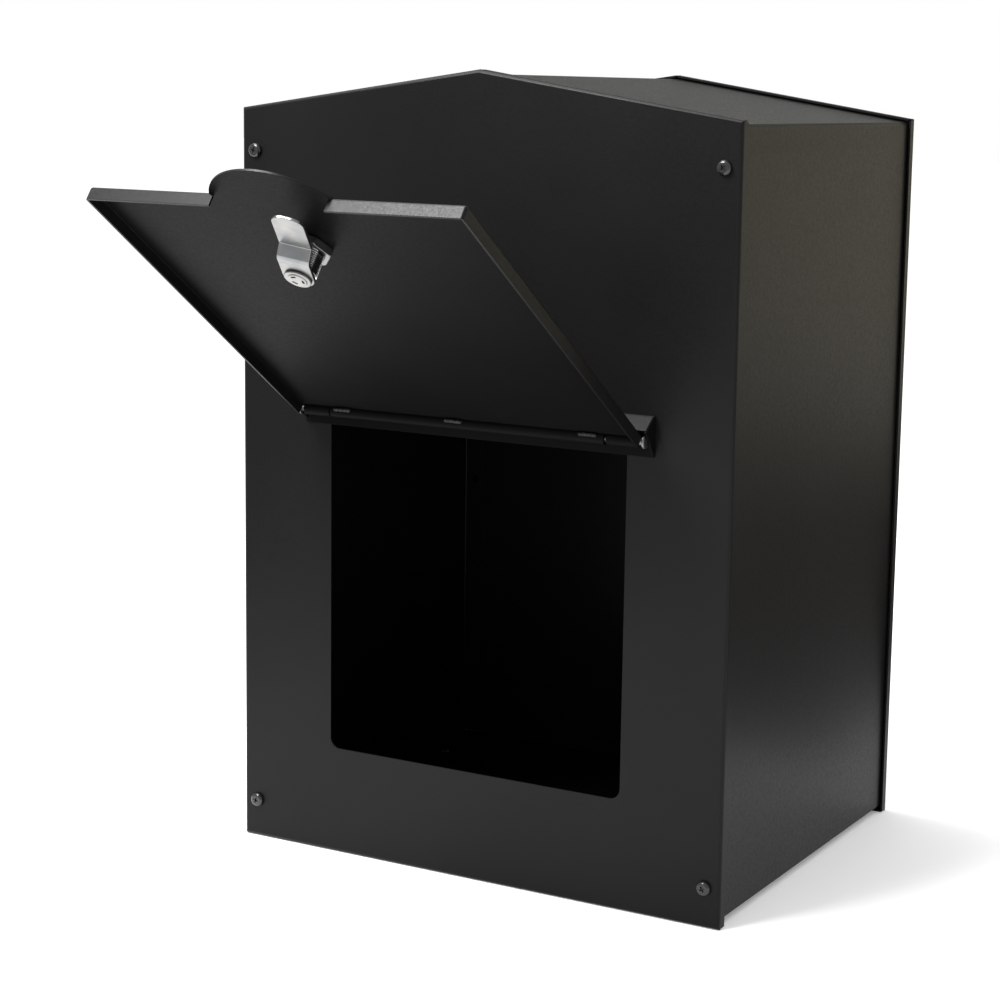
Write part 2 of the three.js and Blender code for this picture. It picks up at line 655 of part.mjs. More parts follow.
function frontScrew() {
  const seat = -TOUCH_GAP;
  const top = seat - SCREW_HEAD_HEIGHT;
  const screw = turned([
    [0, top],
    [SCREW_HEAD_RADIUS * 0.55, top],
    [SCREW_HEAD_RADIUS * 0.85, top + SCREW_HEAD_HEIGHT * 0.25],
    [SCREW_HEAD_RADIUS, top + SCREW_HEAD_HEIGHT * 0.65],
    [SCREW_HEAD_RADIUS, seat],
    [SCREW_RADIUS, seat],
    [SCREW_RADIUS, SCREW_LENGTH],
    [0, SCREW_LENGTH],
  ]);
  const [slotLength, slotWidth, slotDepth] = [1, 0.2, 0.5];
  const reach = (slotLength * SCREW_HEAD_RADIUS) / 2;
  const width = (slotWidth * SCREW_HEAD_RADIUS) / 2;
  const slot = block([-reach, top - 1, -width], [reach, top + slotDepth * SCREW_HEAD_HEIGHT, width]);
  return screw.subtract(slot).subtract(slot.rotate([0, 90, 0]));
}

// A blind nut: its flange lies under the front panel and its upset holds the sleeve's flange.
function frontInsert() {
  const bore = SCREW_RADIUS + SCREW_CLEARANCE;
  const start = SHEET + TOUCH_GAP;
  const upset = SLEEVE_FRONT + SHEET + TOUCH_GAP;
  const swelling = INSERT_RADIUS + INSERT_UPSET;
  return turned([
    [bore, start],
    [SCREW_HEAD_RADIUS, start],
    [SCREW_HEAD_RADIUS, start + INSERT_FLANGE],
    [INSERT_RADIUS, start + INSERT_FLANGE],
    [INSERT_RADIUS, upset],
    [swelling, upset + INSERT_UPSET / 2],
    [INSERT_RADIUS, upset + 2 * INSERT_UPSET],
    [INSERT_RADIUS, start + INSERT_LENGTH],
    [bore, start + INSERT_LENGTH],
    [bore, start],
  ]);
}

// A flush blind rivet: a countersunk head in the rear panel and a tail behind the inner sheet.
function rearRivet() {
  const face = DEPTH - HOLE_CLEARANCE / 3;
  const tail = SLEEVE_BACK - SHEET - TOUCH_GAP;
  return turned([
    [0, tail - RIVET_TAIL_LENGTH],
    [RIVET_RADIUS, tail - RIVET_TAIL_LENGTH],
    [RIVET_TAIL_RADIUS, tail - RIVET_TAIL_LENGTH / 2],
    [RIVET_TAIL_RADIUS, tail],
    [RIVET_RADIUS, tail],
    [RIVET_RADIUS, DEPTH - SHEET],
    [RIVET_HEAD_RADIUS, face],
    [0, face],
  ]);
}

// ---- Assembly: the box group has its origin at the foot of the front panel ----

const box = new THREE.Group();
box.position.set(0, -DEPTH, -ORIGIN_HEIGHT);
box.add(named("front_panel", frontPanel(), powderCoat));
box.add(named("body_sleeve", bodySleeve(), powderCoat));
box.add(named("rear_panel", rearPanel(), powderCoat));
box.add(named("floor_pan", floorPan(), powderCoat));
box.add(named("hinge_hood", hingeHood(), powderCoat));

screwPlaces().forEach(([x, z], i) => {
  const screw = named(`front_screw_${i + 1}`, frontScrew(), blackScrew);
  const insert = named(`front_insert_${i + 1}`, frontInsert(), bareSteel);
  screw.position.set(x, 0, z);
  insert.position.set(x, 0, z);
  box.add(screw, insert);
});

rivetPlaces().forEach(([x, z], i) => {
  const rivet = named(`rear_rivet_${i + 1}`, rearRivet(), rivetAluminium);
  rivet.position.set(x, 0, z);
  box.add(rivet);
});

const hinge = new THREE.Group();
hinge.position.set(0, -HINGE_STANDOFF, HINGE_HEIGHT);
hinge.add(named("fixed_knuckle_left", fixedKnuckle(LEFT_KNUCKLE), powderCoat));
hinge.add(named("fixed_knuckle_right", fixedKnuckle(RIGHT_KNUCKLE), powderCoat));
hinge.add(named("hinge_pin", hingePin(), bareSteel));
hinge.add(named("pin_cap", pinCap(), bareSteel));
box.add(hinge);

const door = new THREE.Group();
door.rotation.x = -OPEN_ANGLE;
door.add(named("door_panel", doorPanel(), powderCoat));
door.add(named("door_hinge_tube", doorHingeTube(), powderCoat));
hinge.add(door);

const lock = new THREE.Group();
lock.position.z = -LOCK_REACH;
lock.add(named("lock_barrel", lockBarrel(), zincPlate));
lock.add(named("lock_nut", lockNut(), zincPlate));
door.add(lock);

const lockCore = new THREE.Group();
lockCore.rotation.y = -CAM_REST_TURN;
lockCore.add(named("lock_plug", lockPlug(), zincPlate));
lockCore.add(named("lock_stop_washer", lockStopWasher(), zincPlate));
lockCore.add(named("lock_cam", lockCam(), zincPlate));
lockCore.add(named("lock_cam_screw", lockCamScrew(), zincPlate));
lock.add(lockCore);

const dropBox = new THREE.Group();
dropBox.add(box);

export default dropBox;
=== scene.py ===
# %% [markdown]
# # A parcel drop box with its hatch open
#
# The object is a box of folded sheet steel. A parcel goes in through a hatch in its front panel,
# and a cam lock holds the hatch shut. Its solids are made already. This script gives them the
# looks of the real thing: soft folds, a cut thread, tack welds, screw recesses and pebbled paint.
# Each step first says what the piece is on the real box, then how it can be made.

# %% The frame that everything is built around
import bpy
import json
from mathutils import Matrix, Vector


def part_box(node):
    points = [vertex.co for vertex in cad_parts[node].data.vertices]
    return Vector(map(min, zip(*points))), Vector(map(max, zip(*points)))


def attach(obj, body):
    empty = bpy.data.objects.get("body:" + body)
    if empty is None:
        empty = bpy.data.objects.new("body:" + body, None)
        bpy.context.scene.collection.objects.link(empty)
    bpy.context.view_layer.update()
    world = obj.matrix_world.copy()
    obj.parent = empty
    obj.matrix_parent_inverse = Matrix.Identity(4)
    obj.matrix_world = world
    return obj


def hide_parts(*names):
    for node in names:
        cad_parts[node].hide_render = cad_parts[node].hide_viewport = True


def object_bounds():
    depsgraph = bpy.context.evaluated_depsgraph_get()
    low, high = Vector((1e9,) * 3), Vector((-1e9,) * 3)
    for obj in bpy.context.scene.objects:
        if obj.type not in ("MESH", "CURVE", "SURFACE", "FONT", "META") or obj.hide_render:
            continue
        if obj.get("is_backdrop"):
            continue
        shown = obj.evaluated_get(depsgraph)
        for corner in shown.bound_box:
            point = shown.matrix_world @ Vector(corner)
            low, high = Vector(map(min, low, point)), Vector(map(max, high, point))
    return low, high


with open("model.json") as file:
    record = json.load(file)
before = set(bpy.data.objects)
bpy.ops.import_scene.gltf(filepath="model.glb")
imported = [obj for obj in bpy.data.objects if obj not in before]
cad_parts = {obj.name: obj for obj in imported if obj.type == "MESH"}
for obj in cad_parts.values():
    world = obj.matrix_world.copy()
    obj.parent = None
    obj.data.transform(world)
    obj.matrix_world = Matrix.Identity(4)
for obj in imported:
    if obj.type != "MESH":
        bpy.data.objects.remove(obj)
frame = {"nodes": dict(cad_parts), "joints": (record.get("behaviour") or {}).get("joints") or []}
cad_low, cad_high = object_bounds()
print("the box of the solids:", [round(v, 4) for v in (*cad_low, *cad_high)])

# %% [markdown]
# ## Places and units
#
# Sheet metal is drawn in millimetres, so each piece is modelled in millimetres about a handy
# origin, and is then moved, turned and scaled into the frame, where that transform is applied.
# There are three such origins: the foot of the front panel, the hinge's axis with the hatch
# shut, and the lock's axis. Modelling the hatch shut keeps every fold square to the axes.
# The places come from the frame's own boxes and joints, so a piece lands where its solid is.

# %% Drawing sizes, in millimetres
import json
from math import acos, atan2, cos, degrees, hypot, pi, radians, sin, tan

import bpy
from mathutils import Matrix, Vector

MM = 0.001
SHEET = 1.5
FOLD = 2.4
TOUCH_GAP = 0.3


def box_mm(node):
    """The lowest and highest corner of a solid in the frame, in millimetres."""
    low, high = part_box(node)
    return low / MM, high / MM


panel_low, panel_high = box_mm("front_panel")
WIDTH = panel_high.x - panel_low.x
PEAK = panel_high.z - panel_low.z
RETURN = panel_high.y - panel_low.y
DEPTH = -panel_low.y
ROOF_RISE = 27
EAVE = PEAK - ROOF_RISE
print(f"box {WIDTH:.0f} x {DEPTH:.0f} x {PEAK:.0f} mm, rims {RETURN:.1f} mm deep")

# %% The three origins
joints = {joint["name"]: joint for joint in frame["joints"]}
hinge_place = Vector(joints["door_hinge"]["pos_m"])
lock_place = Vector(joints["lock_turn"]["pos_m"])
lock_axis = Vector(joints["lock_turn"]["axis"])
OPEN_TURN = acos(-lock_axis.y)
LOCK_REACH = (lock_place - hinge_place).length / MM
CAM_TURN = radians(-joints["lock_turn"]["range_deg"][0])

to_metres = Matrix.Scale(MM, 4)
IN_BOX = Matrix.Translation(panel_low * MM) @ to_metres
IN_BOX.translation.x = 0
ON_HINGE = Matrix.Translation(hinge_place) @ to_metres
ON_DOOR = Matrix.Translation(hinge_place) @ Matrix.Rotation(-OPEN_TURN, 4, "X") @ to_metres
ON_LOCK = ON_DOOR @ Matrix.Translation((0, 0, -LOCK_REACH))
IN_LOCK = ON_LOCK @ Matrix.Rotation(-CAM_TURN, 4, "Y")
print(f"the hatch stands {degrees(OPEN_TURN):.1f} degrees open")
print(f"the lock is {LOCK_REACH:.1f} mm from the hinge")

# %% [markdown]
# ## Camera, floor and light
#
# The box is seen from its right and a little from above, through a long lens, so its upright
# edges stay nearly parallel. The camera is turned with a matrix of its right, up and back
# directions, because a small roll is easier to state that way than with three angles.

# %% The camera
CAMERA_PLACE = Vector((0.7422, -1.5154, 0.2517))
CAMERA_AZIMUTH = radians(28.192)
CAMERA_ELEVATION = radians(9.299)
CAMERA_ROLL = radians(1.155)
CAMERA_LENS = 82.76
CAMERA_SHIFT = (-0.0882, -0.0377)

back = Vector((
    sin(CAMERA_AZIMUTH) * cos(CAMERA_ELEVATION),
    -cos(CAMERA_AZIMUTH) * cos(CAMERA_ELEVATION),
    sin(CAMERA_ELEVATION),
))
level = Vector((cos(CAMERA_AZIMUTH), sin(CAMERA_AZIMUTH), 0))
upright = back.cross(level)
right = level * cos(CAMERA_ROLL) + upright * sin(CAMERA_ROLL)
up = upright * cos(CAMERA_ROLL) - level * sin(CAMERA_ROLL)

camera_data = bpy.data.cameras.new("camera")
camera_data.sensor_width = 36
camera_data.lens = CAMERA_LENS
camera_data.shift_x, camera_data.shift_y = CAMERA_SHIFT
camera = bpy.data.objects.new("camera", camera_data)
bpy.context.scene.collection.objects.link(camera)
turned = Matrix((right, up, back)).transposed().to_4x4()
camera.matrix_world = Matrix.Translation(CAMERA_PLACE) @ turned
bpy.context.scene.camera = camera
bpy.context.scene.view_settings.view_transform = "Standard"
print("the camera stands at", tuple(round(v, 3) for v in CAMERA_PLACE))

# %% [markdown]
# Black satin paint shows mostly what it mirrors, so a studio for it is white all round and lit
# with soft panels. Where the paint would mirror too much white, a dull card stands in the way. A
# camera can't see these cards, only a reflection can. A black sheet under the box is painted
# shade: it stands for the shade there, so that the white floor doesn't shine in through the holes in
# its base.

# %% Floor and surroundings
FLOOR_SIZE = 30
FLOOR_DROP = 0.0003
FLOOR_WHITE = 0.98
FLOOR_GLOW = 0.14
DULL = 0.9
WHITE = (1, 1, 1, 1)


def nodes_of(owner):
    """Switches a material or world to nodes and returns its nodes and links."""
    owner.use_nodes = True
    return owner.node_tree.nodes, owner.node_tree.links


def sockets(owner, node="Principled BSDF"):
    """The inputs of a material's shader, or of a world's background."""
    return nodes_of(owner)[0][node].inputs


bpy.ops.object.select_all(action="DESELECT")
bpy.ops.mesh.primitive_plane_add(size=FLOOR_SIZE, location=(0, 0, cad_low.z - FLOOR_DROP))
floor = bpy.context.object
floor.name = "studio_floor"
floor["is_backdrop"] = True
studio_white = bpy.data.materials.new("studio_white")
white_paint = sockets(studio_white)
white_paint["Base Color"].default_value = (FLOOR_WHITE, FLOOR_WHITE, FLOOR_WHITE, 1)
white_paint["Roughness"].default_value = DULL
white_paint["Emission Color"].default_value = WHITE
white_paint["Emission Strength"].default_value = FLOOR_GLOW
floor.data.materials.append(studio_white)

world = bpy.data.worlds.new("studio")
bpy.context.scene.world = world
surroundings = sockets(world, "Background")
surroundings["Color"].default_value = WHITE
surroundings["Strength"].default_value = 1.0
print(f"a white floor of {FLOOR_SIZE} m, {FLOOR_DROP / MM:.1f} mm below the box")


# %% Lamps
def soft_panel(name, place, aim, size, power):
    """A large lamp that faces a point."""
    lamp = bpy.data.lights.new(name, "AREA")
    lamp.shape = "RECTANGLE"
    lamp.size, lamp.size_y = size
    lamp.energy = power
    stand = bpy.data.objects.new(name, lamp)
    bpy.context.scene.collection.objects.link(stand)
    facing = (Vector(aim) - Vector(place)).to_track_quat("-Z", "Y")
    stand.matrix_world = Matrix.Translation(Vector(place)) @ facing.to_matrix().to_4x4()
    print(f"{name}: {power} W")


soft_panel("top_panel", place=(-0.65, -0.3, 1.85), aim=(0, -0.25, 0.2), size=(1.2, 1.2), power=32)
soft_panel("key_panel", place=(-0.31, -0.91, 0.9), aim=(0.09, -0.5, 0.19), size=(0.42, 0.42), power=27)

# %% Cards
CARD_LIFT = 0.01
UNDERLAY_DROP = 0.0001
LYING = (0, 0, 0)
BLACK = (0.01, 0.01, 0.01)
DARK_GREEN = (0.1, 0.1, 0.08)
GREY = (0.3, 0.3, 0.28)
SAND = (0.66, 0.6, 0.46)


def card(name, place, turn, size, colour, seen=False):
    """A flat card that shows only in reflections, unless it is meant to be seen."""
    bpy.ops.object.select_all(action="DESELECT")
    bpy.ops.mesh.primitive_plane_add(size=1, location=place, rotation=turn)
    sheet = bpy.context.object
    sheet.name = name
    sheet.scale = (*size, 1)
    paper = bpy.data.materials.new(name)
    sockets(paper)["Base Color"].default_value = (*colour, 1)
    sockets(paper)["Roughness"].default_value = DULL
    sheet.data.materials.append(paper)
    sheet.visible_camera = sheet.visible_diffuse = sheet.visible_shadow = seen
    sheet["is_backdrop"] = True
    print(f"{name}: {size[0]} x {size[1]} m")


# Painted shade: a black sheet that stands for the shade under the box.
under_box = (-0.006, -0.14, cad_low.z - UNDERLAY_DROP)
card("painted_shade_sheet", under_box, LYING, (0.34, 0.272), BLACK, seen=True)
on_floor = cad_low.z + CARD_LIFT
card("dark_card", (1.01, 0.9, on_floor), LYING, (1.5, 1.7), BLACK)
card("warm_card", (1.35, 1.95, cad_low.z + 0.75), (pi / 2, 0, -CAMERA_AZIMUTH), (2.4, 1.5), SAND)
card("high_card", (-1.0, 2.6, 1.7), (pi / 2, 0, 0), (5.0, 2.2), GREY)
card("left_card", (-1.1, -1.5, on_floor), LYING, (1.5, 1.56), DARK_GREEN)

# %% [markdown]
# ## Hands: picking and holding a piece
#
# In the modelling view a maker clicks on an edge to select it. A script picks by place instead:
# it opens the piece, selects what passes a test, and then calls the same operators.

# %% Picking tools
def put_down():
    """Leaves edit mode with nothing selected."""
    if bpy.context.object and bpy.context.object.mode == "EDIT":
        bpy.ops.object.mode_set(mode="OBJECT")
    bpy.ops.object.select_all(action="DESELECT")


def take(piece):
    """Makes one piece the only selected and the active one."""
    put_down()
    piece.select_set(True)
    bpy.context.view_layer.objects.active = piece
    return piece


def at(x=None, y=None, z=None):
    """A test that passes where every point has the given x, y or z."""
    wanted = [(i, v) for i, v in enumerate((x, y, z)) if v is not None]
    return lambda points: all(abs(p[i] - v) < 0.01 for p in points for i, v in wanted)


def along_y(points):
    """A test that passes for an edge that runs along Y."""
    return abs(points[0].y - points[1].y) > 1


def pick(piece, kind, test=lambda points: True):
    """Opens a piece with those of its vertices, edges or faces selected that pass the test."""
    take(piece)
    mesh = piece.data
    for item in (*mesh.vertices, *mesh.edges, *mesh.polygons):
        item.select = False
    if kind == "VERT":
        corners = {v: [v.co] for v in mesh.vertices}
    else:
        group = mesh.edges if kind == "EDGE" else mesh.polygons
        corners = {item: [mesh.vertices[i].co for i in item.vertices] for item in group}
    for item, points in corners.items():
        item.select = test(points)
    bpy.context.tool_settings.mesh_select_mode = [kind == k for k in ("VERT", "EDGE", "FACE")]
    bpy.ops.object.mode_set(mode="EDIT")


def apply_modifier(piece, kind, **settings):
    """Adds a modifier, sets it up and applies it."""
    take(piece)
    modifier = piece.modifiers.new(kind.lower(), kind)
    for key, value in settings.items():
        setattr(modifier, key, value)
    bpy.ops.object.modifier_apply(modifier=modifier.name)
    return piece


def set_down(piece, place):
    """Moves, turns and scales a piece by a matrix, and applies that to its mesh."""
    bpy.context.view_layer.update()
    piece.matrix_world = place @ piece.matrix_world
    take(piece)
    bpy.ops.object.transform_apply(location=True, rotation=True, scale=True)
    return piece


# %% [markdown]
# ## Blanks and cutters
#
# Folded sheet is modelled as it is made. A flat blank is drawn without thickness, its edges are
# extruded into rims, the fold lines are bevelled to the bending radius, and only then does
# Solidify give it the sheet's thickness, so the inner radius comes out right by itself. Holes
# are cut last with Boolean, as a punch would, and a very small bevel takes off the cut edges.

# %% Blanks, cutters and joints
def named(name):
    """Names the newest object and leaves its transform in its mesh."""
    piece = bpy.context.object
    piece.name = name
    return set_down(piece, Matrix())


def standing_plate(name, width, height, centre):
    """A flat blank without thickness that faces the front, -Y."""
    put_down()
    bpy.ops.mesh.primitive_plane_add(size=1, location=centre, rotation=(pi / 2, 0, 0))
    bpy.context.object.scale = (width, height, 1)
    return named(name)


def block(name, low, high):
    """A block between two corners."""
    low, high = Vector(low), Vector(high)
    put_down()
    bpy.ops.mesh.primitive_cube_add(size=1, location=(low + high) / 2)
    bpy.context.object.scale = high - low
    return named(name)


ALONG = {"X": (0, pi / 2, 0), "Y": (-pi / 2, 0, 0), "Z": (0, 0, 0)}


def rod(name, radius, axis, start, end, x=0, y=0, z=0, sides=48):
    """A round bar along an axis, from one place on it to another."""
    centre = Vector((x, y, z))
    centre["XYZ".index(axis)] = (start + end) / 2
    put_down()
    bpy.ops.mesh.primitive_cylinder_add(
        vertices=sides, radius=radius, depth=abs(end - start), location=centre, rotation=ALONG[axis]
    )
    return named(name)


def boolean(piece, other, operation="DIFFERENCE"):
    """Cuts one piece with another, or joins them, and removes the other."""
    apply_modifier(piece, "BOOLEAN", operation=operation, object=other, solver="EXACT")
    bpy.data.objects.remove(other)
    return piece


def extrude(piece, kind, test, by):
    """Extrudes what passes the test and moves it."""
    pick(piece, kind, test)
    bpy.ops.mesh.extrude_region_move(TRANSFORM_OT_translate={"value": by})
    put_down()


def turn_at(piece, test):
    """The angle by which the surface turns at the first edge that passes the test."""
    mesh = piece.data
    edge = next(e for e in mesh.edges if test([mesh.vertices[i].co for i in e.vertices]))
    sides = [face.normal for face in mesh.polygons if edge.key in face.edge_keys]
    return sides[0].angle(sides[1])


def round_edges(piece, test, radius, segments=6):
    """Bevels the edges that pass the test to a radius, whatever their angle is."""
    reach = radius * tan(turn_at(piece, test) / 2)
    pick(piece, "EDGE", test)
    bpy.ops.mesh.bevel(
        offset=reach, segments=segments, profile=0.5, affect="EDGES", clamp_overlap=False
    )
    put_down()


def outside(piece, way):
    """Turns all faces outwards. On a sheet, the furthest face on the given side faces that way."""
    pick(piece, "FACE")
    bpy.ops.mesh.normals_make_consistent(inside=False)
    put_down()
    if way is None:
        return
    way = Vector(way)
    furthest = max(piece.data.polygons, key=lambda face: face.center.dot(way))
    if furthest.normal.dot(way) < 0:
        pick(piece, "FACE")
        bpy.ops.mesh.flip_normals()
        put_down()


def merge_flats(piece):
    """Makes one face of the faces that lie in one plane, so a joint in a sheet doesn't show."""
    pick(piece, "VERT")
    bpy.ops.mesh.remove_doubles(threshold=0.03)
    bpy.ops.mesh.dissolve_limited(angle_limit=radians(0.5))
    put_down()


def soften(piece, width=0.25, segments=2):
    """Takes off the sharp edges and shades flat faces flat and folds smooth."""
    apply_modifier(
        piece, "BEVEL", width=width, segments=segments,
        limit_method="ANGLE", angle_limit=radians(40), use_clamp_overlap=False,
    )
    take(piece)
    bpy.ops.object.shade_smooth_by_angle(angle=radians(35))
    apply_modifier(piece, "WEIGHTED_NORMAL", mode="FACE_AREA", weight=100, keep_sharp=True)
    return piece


# %% Giving a piece its place, finish and body
def fit_piece(piece, place, body, paint, stands_for=(), shade_coat_on=None):
    """Brings a finished piece into the frame, paints it and lets it ride on a body."""
    piece.data.materials.clear()
    piece.data.materials.append(paint)
    # Faces that pass the test get the shade coat, which paints shade on them.
    if shade_coat_on:
        piece.data.materials.append(shade_coat)
        for face in piece.data.polygons:
            face.material_index = int(shade_coat_on(face))
    set_down(piece, place)
    put_down()
    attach(piece, body)
    if stands_for:
        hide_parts(*stands_for)
    print(f"{piece.name}: {len(piece.data.polygons)} faces on {body}")


# %% [markdown]
# ## Finishes
#
# Powder coat is plastic powder melted onto the steel. It is black with a satin sheen, and up
# close it has a fine pebbled skin. Two noise textures make it: a fine one for the skin, as bump,
# and a broad faint one that makes the sheen uneven. They read Object coordinates, which are
# metres here, so a noise scale of 1000 gives grains of about a millimetre. Faces that lie in
# shade get a second coat, a little darker and mirroring far less, which is painted shade.

# %% Material tools
def finish(name, colour, roughness, metallic=0.0, specular=0.5):
    """A material with its colour, roughness, metal and mirroring set."""
    material = bpy.data.materials.new(name)
    shader = sockets(material)
    shader["Base Color"].default_value = (*colour, 1)
    shader["Roughness"].default_value = roughness
    shader["Metallic"].default_value = metallic
    shader["Specular IOR Level"].default_value = specular
    material.diffuse_color = (*colour, 1)
    return material


def grain(material, scale, detail=2.0, stretch=(1, 1, 1)):
    """A noise over the object, in grains per metre. Returns its output socket."""
    nodes, links = nodes_of(material)
    place = nodes.new("ShaderNodeTexCoord")
    noise = nodes.new("ShaderNodeTexNoise")
    noise.inputs["Scale"].default_value = scale
    noise.inputs["Detail"].default_value = detail
    mapping = nodes.new("ShaderNodeMapping")
    mapping.inputs["Scale"].default_value = stretch
    links.new(place.outputs["Object"], mapping.inputs["Vector"])
    links.new(mapping.outputs["Vector"], noise.inputs["Vector"])
    return noise.outputs["Fac"]


def spread(material, source, socket, low, high, start=0.35, end=0.65):
    """Spreads a noise between two values of one of the shader's sockets."""
    nodes, links = nodes_of(material)
    if isinstance(low, tuple):
        ramp = nodes.new("ShaderNodeValToRGB")
        ramp.color_ramp.elements[0].position = start
        ramp.color_ramp.elements[0].color = (*low, 1)
        ramp.color_ramp.elements[1].position = end
        ramp.color_ramp.elements[1].color = (*high, 1)
        links.new(source, ramp.inputs["Fac"])
        links.new(ramp.outputs["Color"], sockets(material)[socket])
        return
    span = nodes.new("ShaderNodeMapRange")
    span.inputs["From Min"].default_value = start
    span.inputs["From Max"].default_value = end
    span.inputs["To Min"].default_value = low
    span.inputs["To Max"].default_value = high
    links.new(source, span.inputs["Value"])
    links.new(span.outputs["Result"], sockets(material)[socket])


def pebble(material, source, height):
    """Raises the surface by a noise, height in metres."""
    nodes, links = nodes_of(material)
    bump = nodes.new("ShaderNodeBump")
    bump.inputs["Distance"].default_value = height
    links.new(source, bump.inputs["Height"])
    shader_normal = sockets(material)["Normal"]
    if shader_normal.is_linked:
        links.new(shader_normal.links[0].from_socket, bump.inputs["Normal"])
    links.new(bump.outputs["Normal"], shader_normal)


# %% Powder coat
SHADE_SPREAD = 0.15
ROUGHNESS_SPREAD = 0.05
SKIN_HEIGHT = 0.00005
ORANGE_PEEL_HEIGHT = 0.00004


def coat(name, shade, sheen, roughness):
    """Powder coat: how dark it is, how strongly it mirrors, and its roughness."""
    coated = finish(name, (shade,) * 3, roughness, specular=sheen)
    darker, lighter = (shade * (1 - SHADE_SPREAD),) * 3, (shade * (1 + SHADE_SPREAD),) * 3
    smoother, rougher = roughness - ROUGHNESS_SPREAD, roughness + ROUGHNESS_SPREAD
    spread(coated, grain(coated, 9), "Base Color", darker, lighter)
    spread(coated, grain(coated, 700, 3), "Roughness", smoother, rougher)
    pebble(coated, grain(coated, 1100, 2), SKIN_HEIGHT)
    pebble(coated, grain(coated, 260, 1), ORANGE_PEEL_HEIGHT)
    return coated


powder_coat = coat("satin_powder_coat", 0.0036, 0.11, 0.36)
# Painted shade: a darker copy of the coat that mirrors far less, for faces that lie in shade.
shade_coat = coat("shade_powder_coat", 0.003, 0.022, 0.45)
print("powder coats:", powder_coat.name, shade_coat.name)

# %% [markdown]
# The bare metals are plain, with a grain that makes their gloss uneven. The drawn steel's grain
# is stretched along the pin. The barrel's thread has painted shade: its colour is near black at the
# root of each groove and light on the crests, so it reads an attribute that says how deep in a groove
# each point lies.

# %% Metals and welds
black_screw = finish("black_screw_plate", (0.006, 0.006, 0.0065), 0.2, specular=0.5)
spread(black_screw, grain(black_screw, 900, 3), "Roughness", 0.16, 0.26)

bare_steel = finish("drawn_steel", (0.15, 0.15, 0.15), 0.42, 1.0)
spread(bare_steel, grain(bare_steel, 400, 2, (1, 6, 6)), "Roughness", 0.36, 0.5)

lock_chrome = finish("lock_zinc", (0.2, 0.2, 0.195), 0.3, 1.0)
spread(lock_chrome, grain(lock_chrome, 60, 2), "Base Color", (0.16, 0.165, 0.17), (0.23, 0.225, 0.215))
spread(lock_chrome, grain(lock_chrome, 200, 2), "Roughness", 0.28, 0.36)

# Painted shade in the thread: dark at each groove's root, light on the crests.
GROOVE = "groove"
GROOVE_SHADE = (0.012, 0.012, 0.011)
cut_thread = finish("cut_thread", (0.4, 0.4, 0.39), 0.35, 0.6)
depth = nodes_of(cut_thread)[0].new("ShaderNodeAttribute")
depth.attribute_name = GROOVE
spread(cut_thread, depth.outputs["Fac"], "Base Color", (0.8, 0.8, 0.77), GROOVE_SHADE, 0.1, 0.6)
spread(cut_thread, grain(cut_thread, 300, 2), "Roughness", 0.24, 0.34)

rivet_aluminium = finish("dull_aluminium", (0.42, 0.42, 0.43), 0.45, 1.0)
spread(rivet_aluminium, grain(rivet_aluminium, 600, 3), "Roughness", 0.38, 0.55)

seam_paint = finish("scorched_weld", (0.03, 0.03, 0.03), 0.5, specular=0.15)
spread(seam_paint, grain(seam_paint, 500, 3), "Base Color", (0.006,) * 3, (0.028, 0.028, 0.027))
print("finishes:", [material.name for material in bpy.data.materials])

# %% [markdown]
# ## Front and rear trays
#
# The front of the box is a shallow tray: a gabled face with a rim folded back all round. Where
# two rims meet they leave a narrow slit, because the blank has a notch there to let it fold.
# The rear is the same tray facing the other way, so one function makes both.

# %% The tray
SLIT = 1.0
ROOF_SLOPE = atan2(ROOF_RISE, WIDTH / 2)


def gabled_tray(name):
    """A gabled tray with its face at y = 0 and its rim behind it."""
    tray = standing_plate(name, WIDTH, EAVE, (0, RETURN, EAVE / 2))
    pick(tray, "EDGE", at(z=EAVE))
    bpy.ops.mesh.subdivide(number_cuts=1)
    pick(tray, "VERT", at(x=0, z=EAVE))
    bpy.ops.transform.translate(value=(0, 0, ROOF_RISE))
    extrude(tray, "FACE", at(y=RETURN), (0, -RETURN, 0))
    pick(tray, "FACE", at(y=RETURN))
    bpy.ops.mesh.delete(type="ONLY_FACE")
    round_edges(tray, at(y=0), FOLD)
    outside(tray, (0, -1, 0))
    apply_modifier(tray, "SOLIDIFY", thickness=SHEET, offset=-1, use_even_offset=True)
    corners = [
        (-WIDTH / 2, 0, pi / 4),
        (WIDTH / 2, 0, 3 * pi / 4),
        (WIDTH / 2, EAVE, -3 * pi / 4 - ROOF_SLOPE / 2),
        (0, PEAK, -pi / 2),
        (-WIDTH / 2, EAVE, -pi / 4 + ROOF_SLOPE / 2),
    ]
    reach = 3 * FOLD
    for x, z, angle in corners:
        slit = block("slit", (-reach, FOLD + TOUCH_GAP, -SLIT / 2), (reach, 2 * RETURN, SLIT / 2))
        set_down(slit, Matrix.Translation((x, 0, z)) @ Matrix.Rotation(-angle, 4, "Y"))
        boolean(tray, slit)
    return tray


# %% The front panel
OPENING = (-109, 72, 109, 298)
OPENING_CORNER = 7
SCREW_HOLE = 2.8
SCREW_INSET = 11
SCREW_HEIGHTS = (25.7, EAVE - 27.6)
CUT_START = -5

front_tray = gabled_tray("front_tray")
x0, z0, x1, z1 = OPENING
punch = block("punch", (x0, CUT_START, z0), (x1, RETURN, z1))
round_edges(punch, along_y, OPENING_CORNER, 8)
boolean(front_tray, punch)
screw_places = [(end * (WIDTH / 2 - SCREW_INSET), z) for z in SCREW_HEIGHTS for end in (-1, 1)]
for x, z in screw_places:
    boolean(front_tray, rod("drill", SCREW_HOLE, "Y", CUT_START, RETURN, x=x, z=z, sides=24))
soften(front_tray)
fit_piece(front_tray, IN_BOX, "box", powder_coat, ["front_panel"])

# %% The rear panel
RIVET_PLACES = [(128, 12.5), (167, 208.6), (167, EAVE - 54)]
RIVET_MOUTH = 3.9
RIVET_THROAT = 2.3

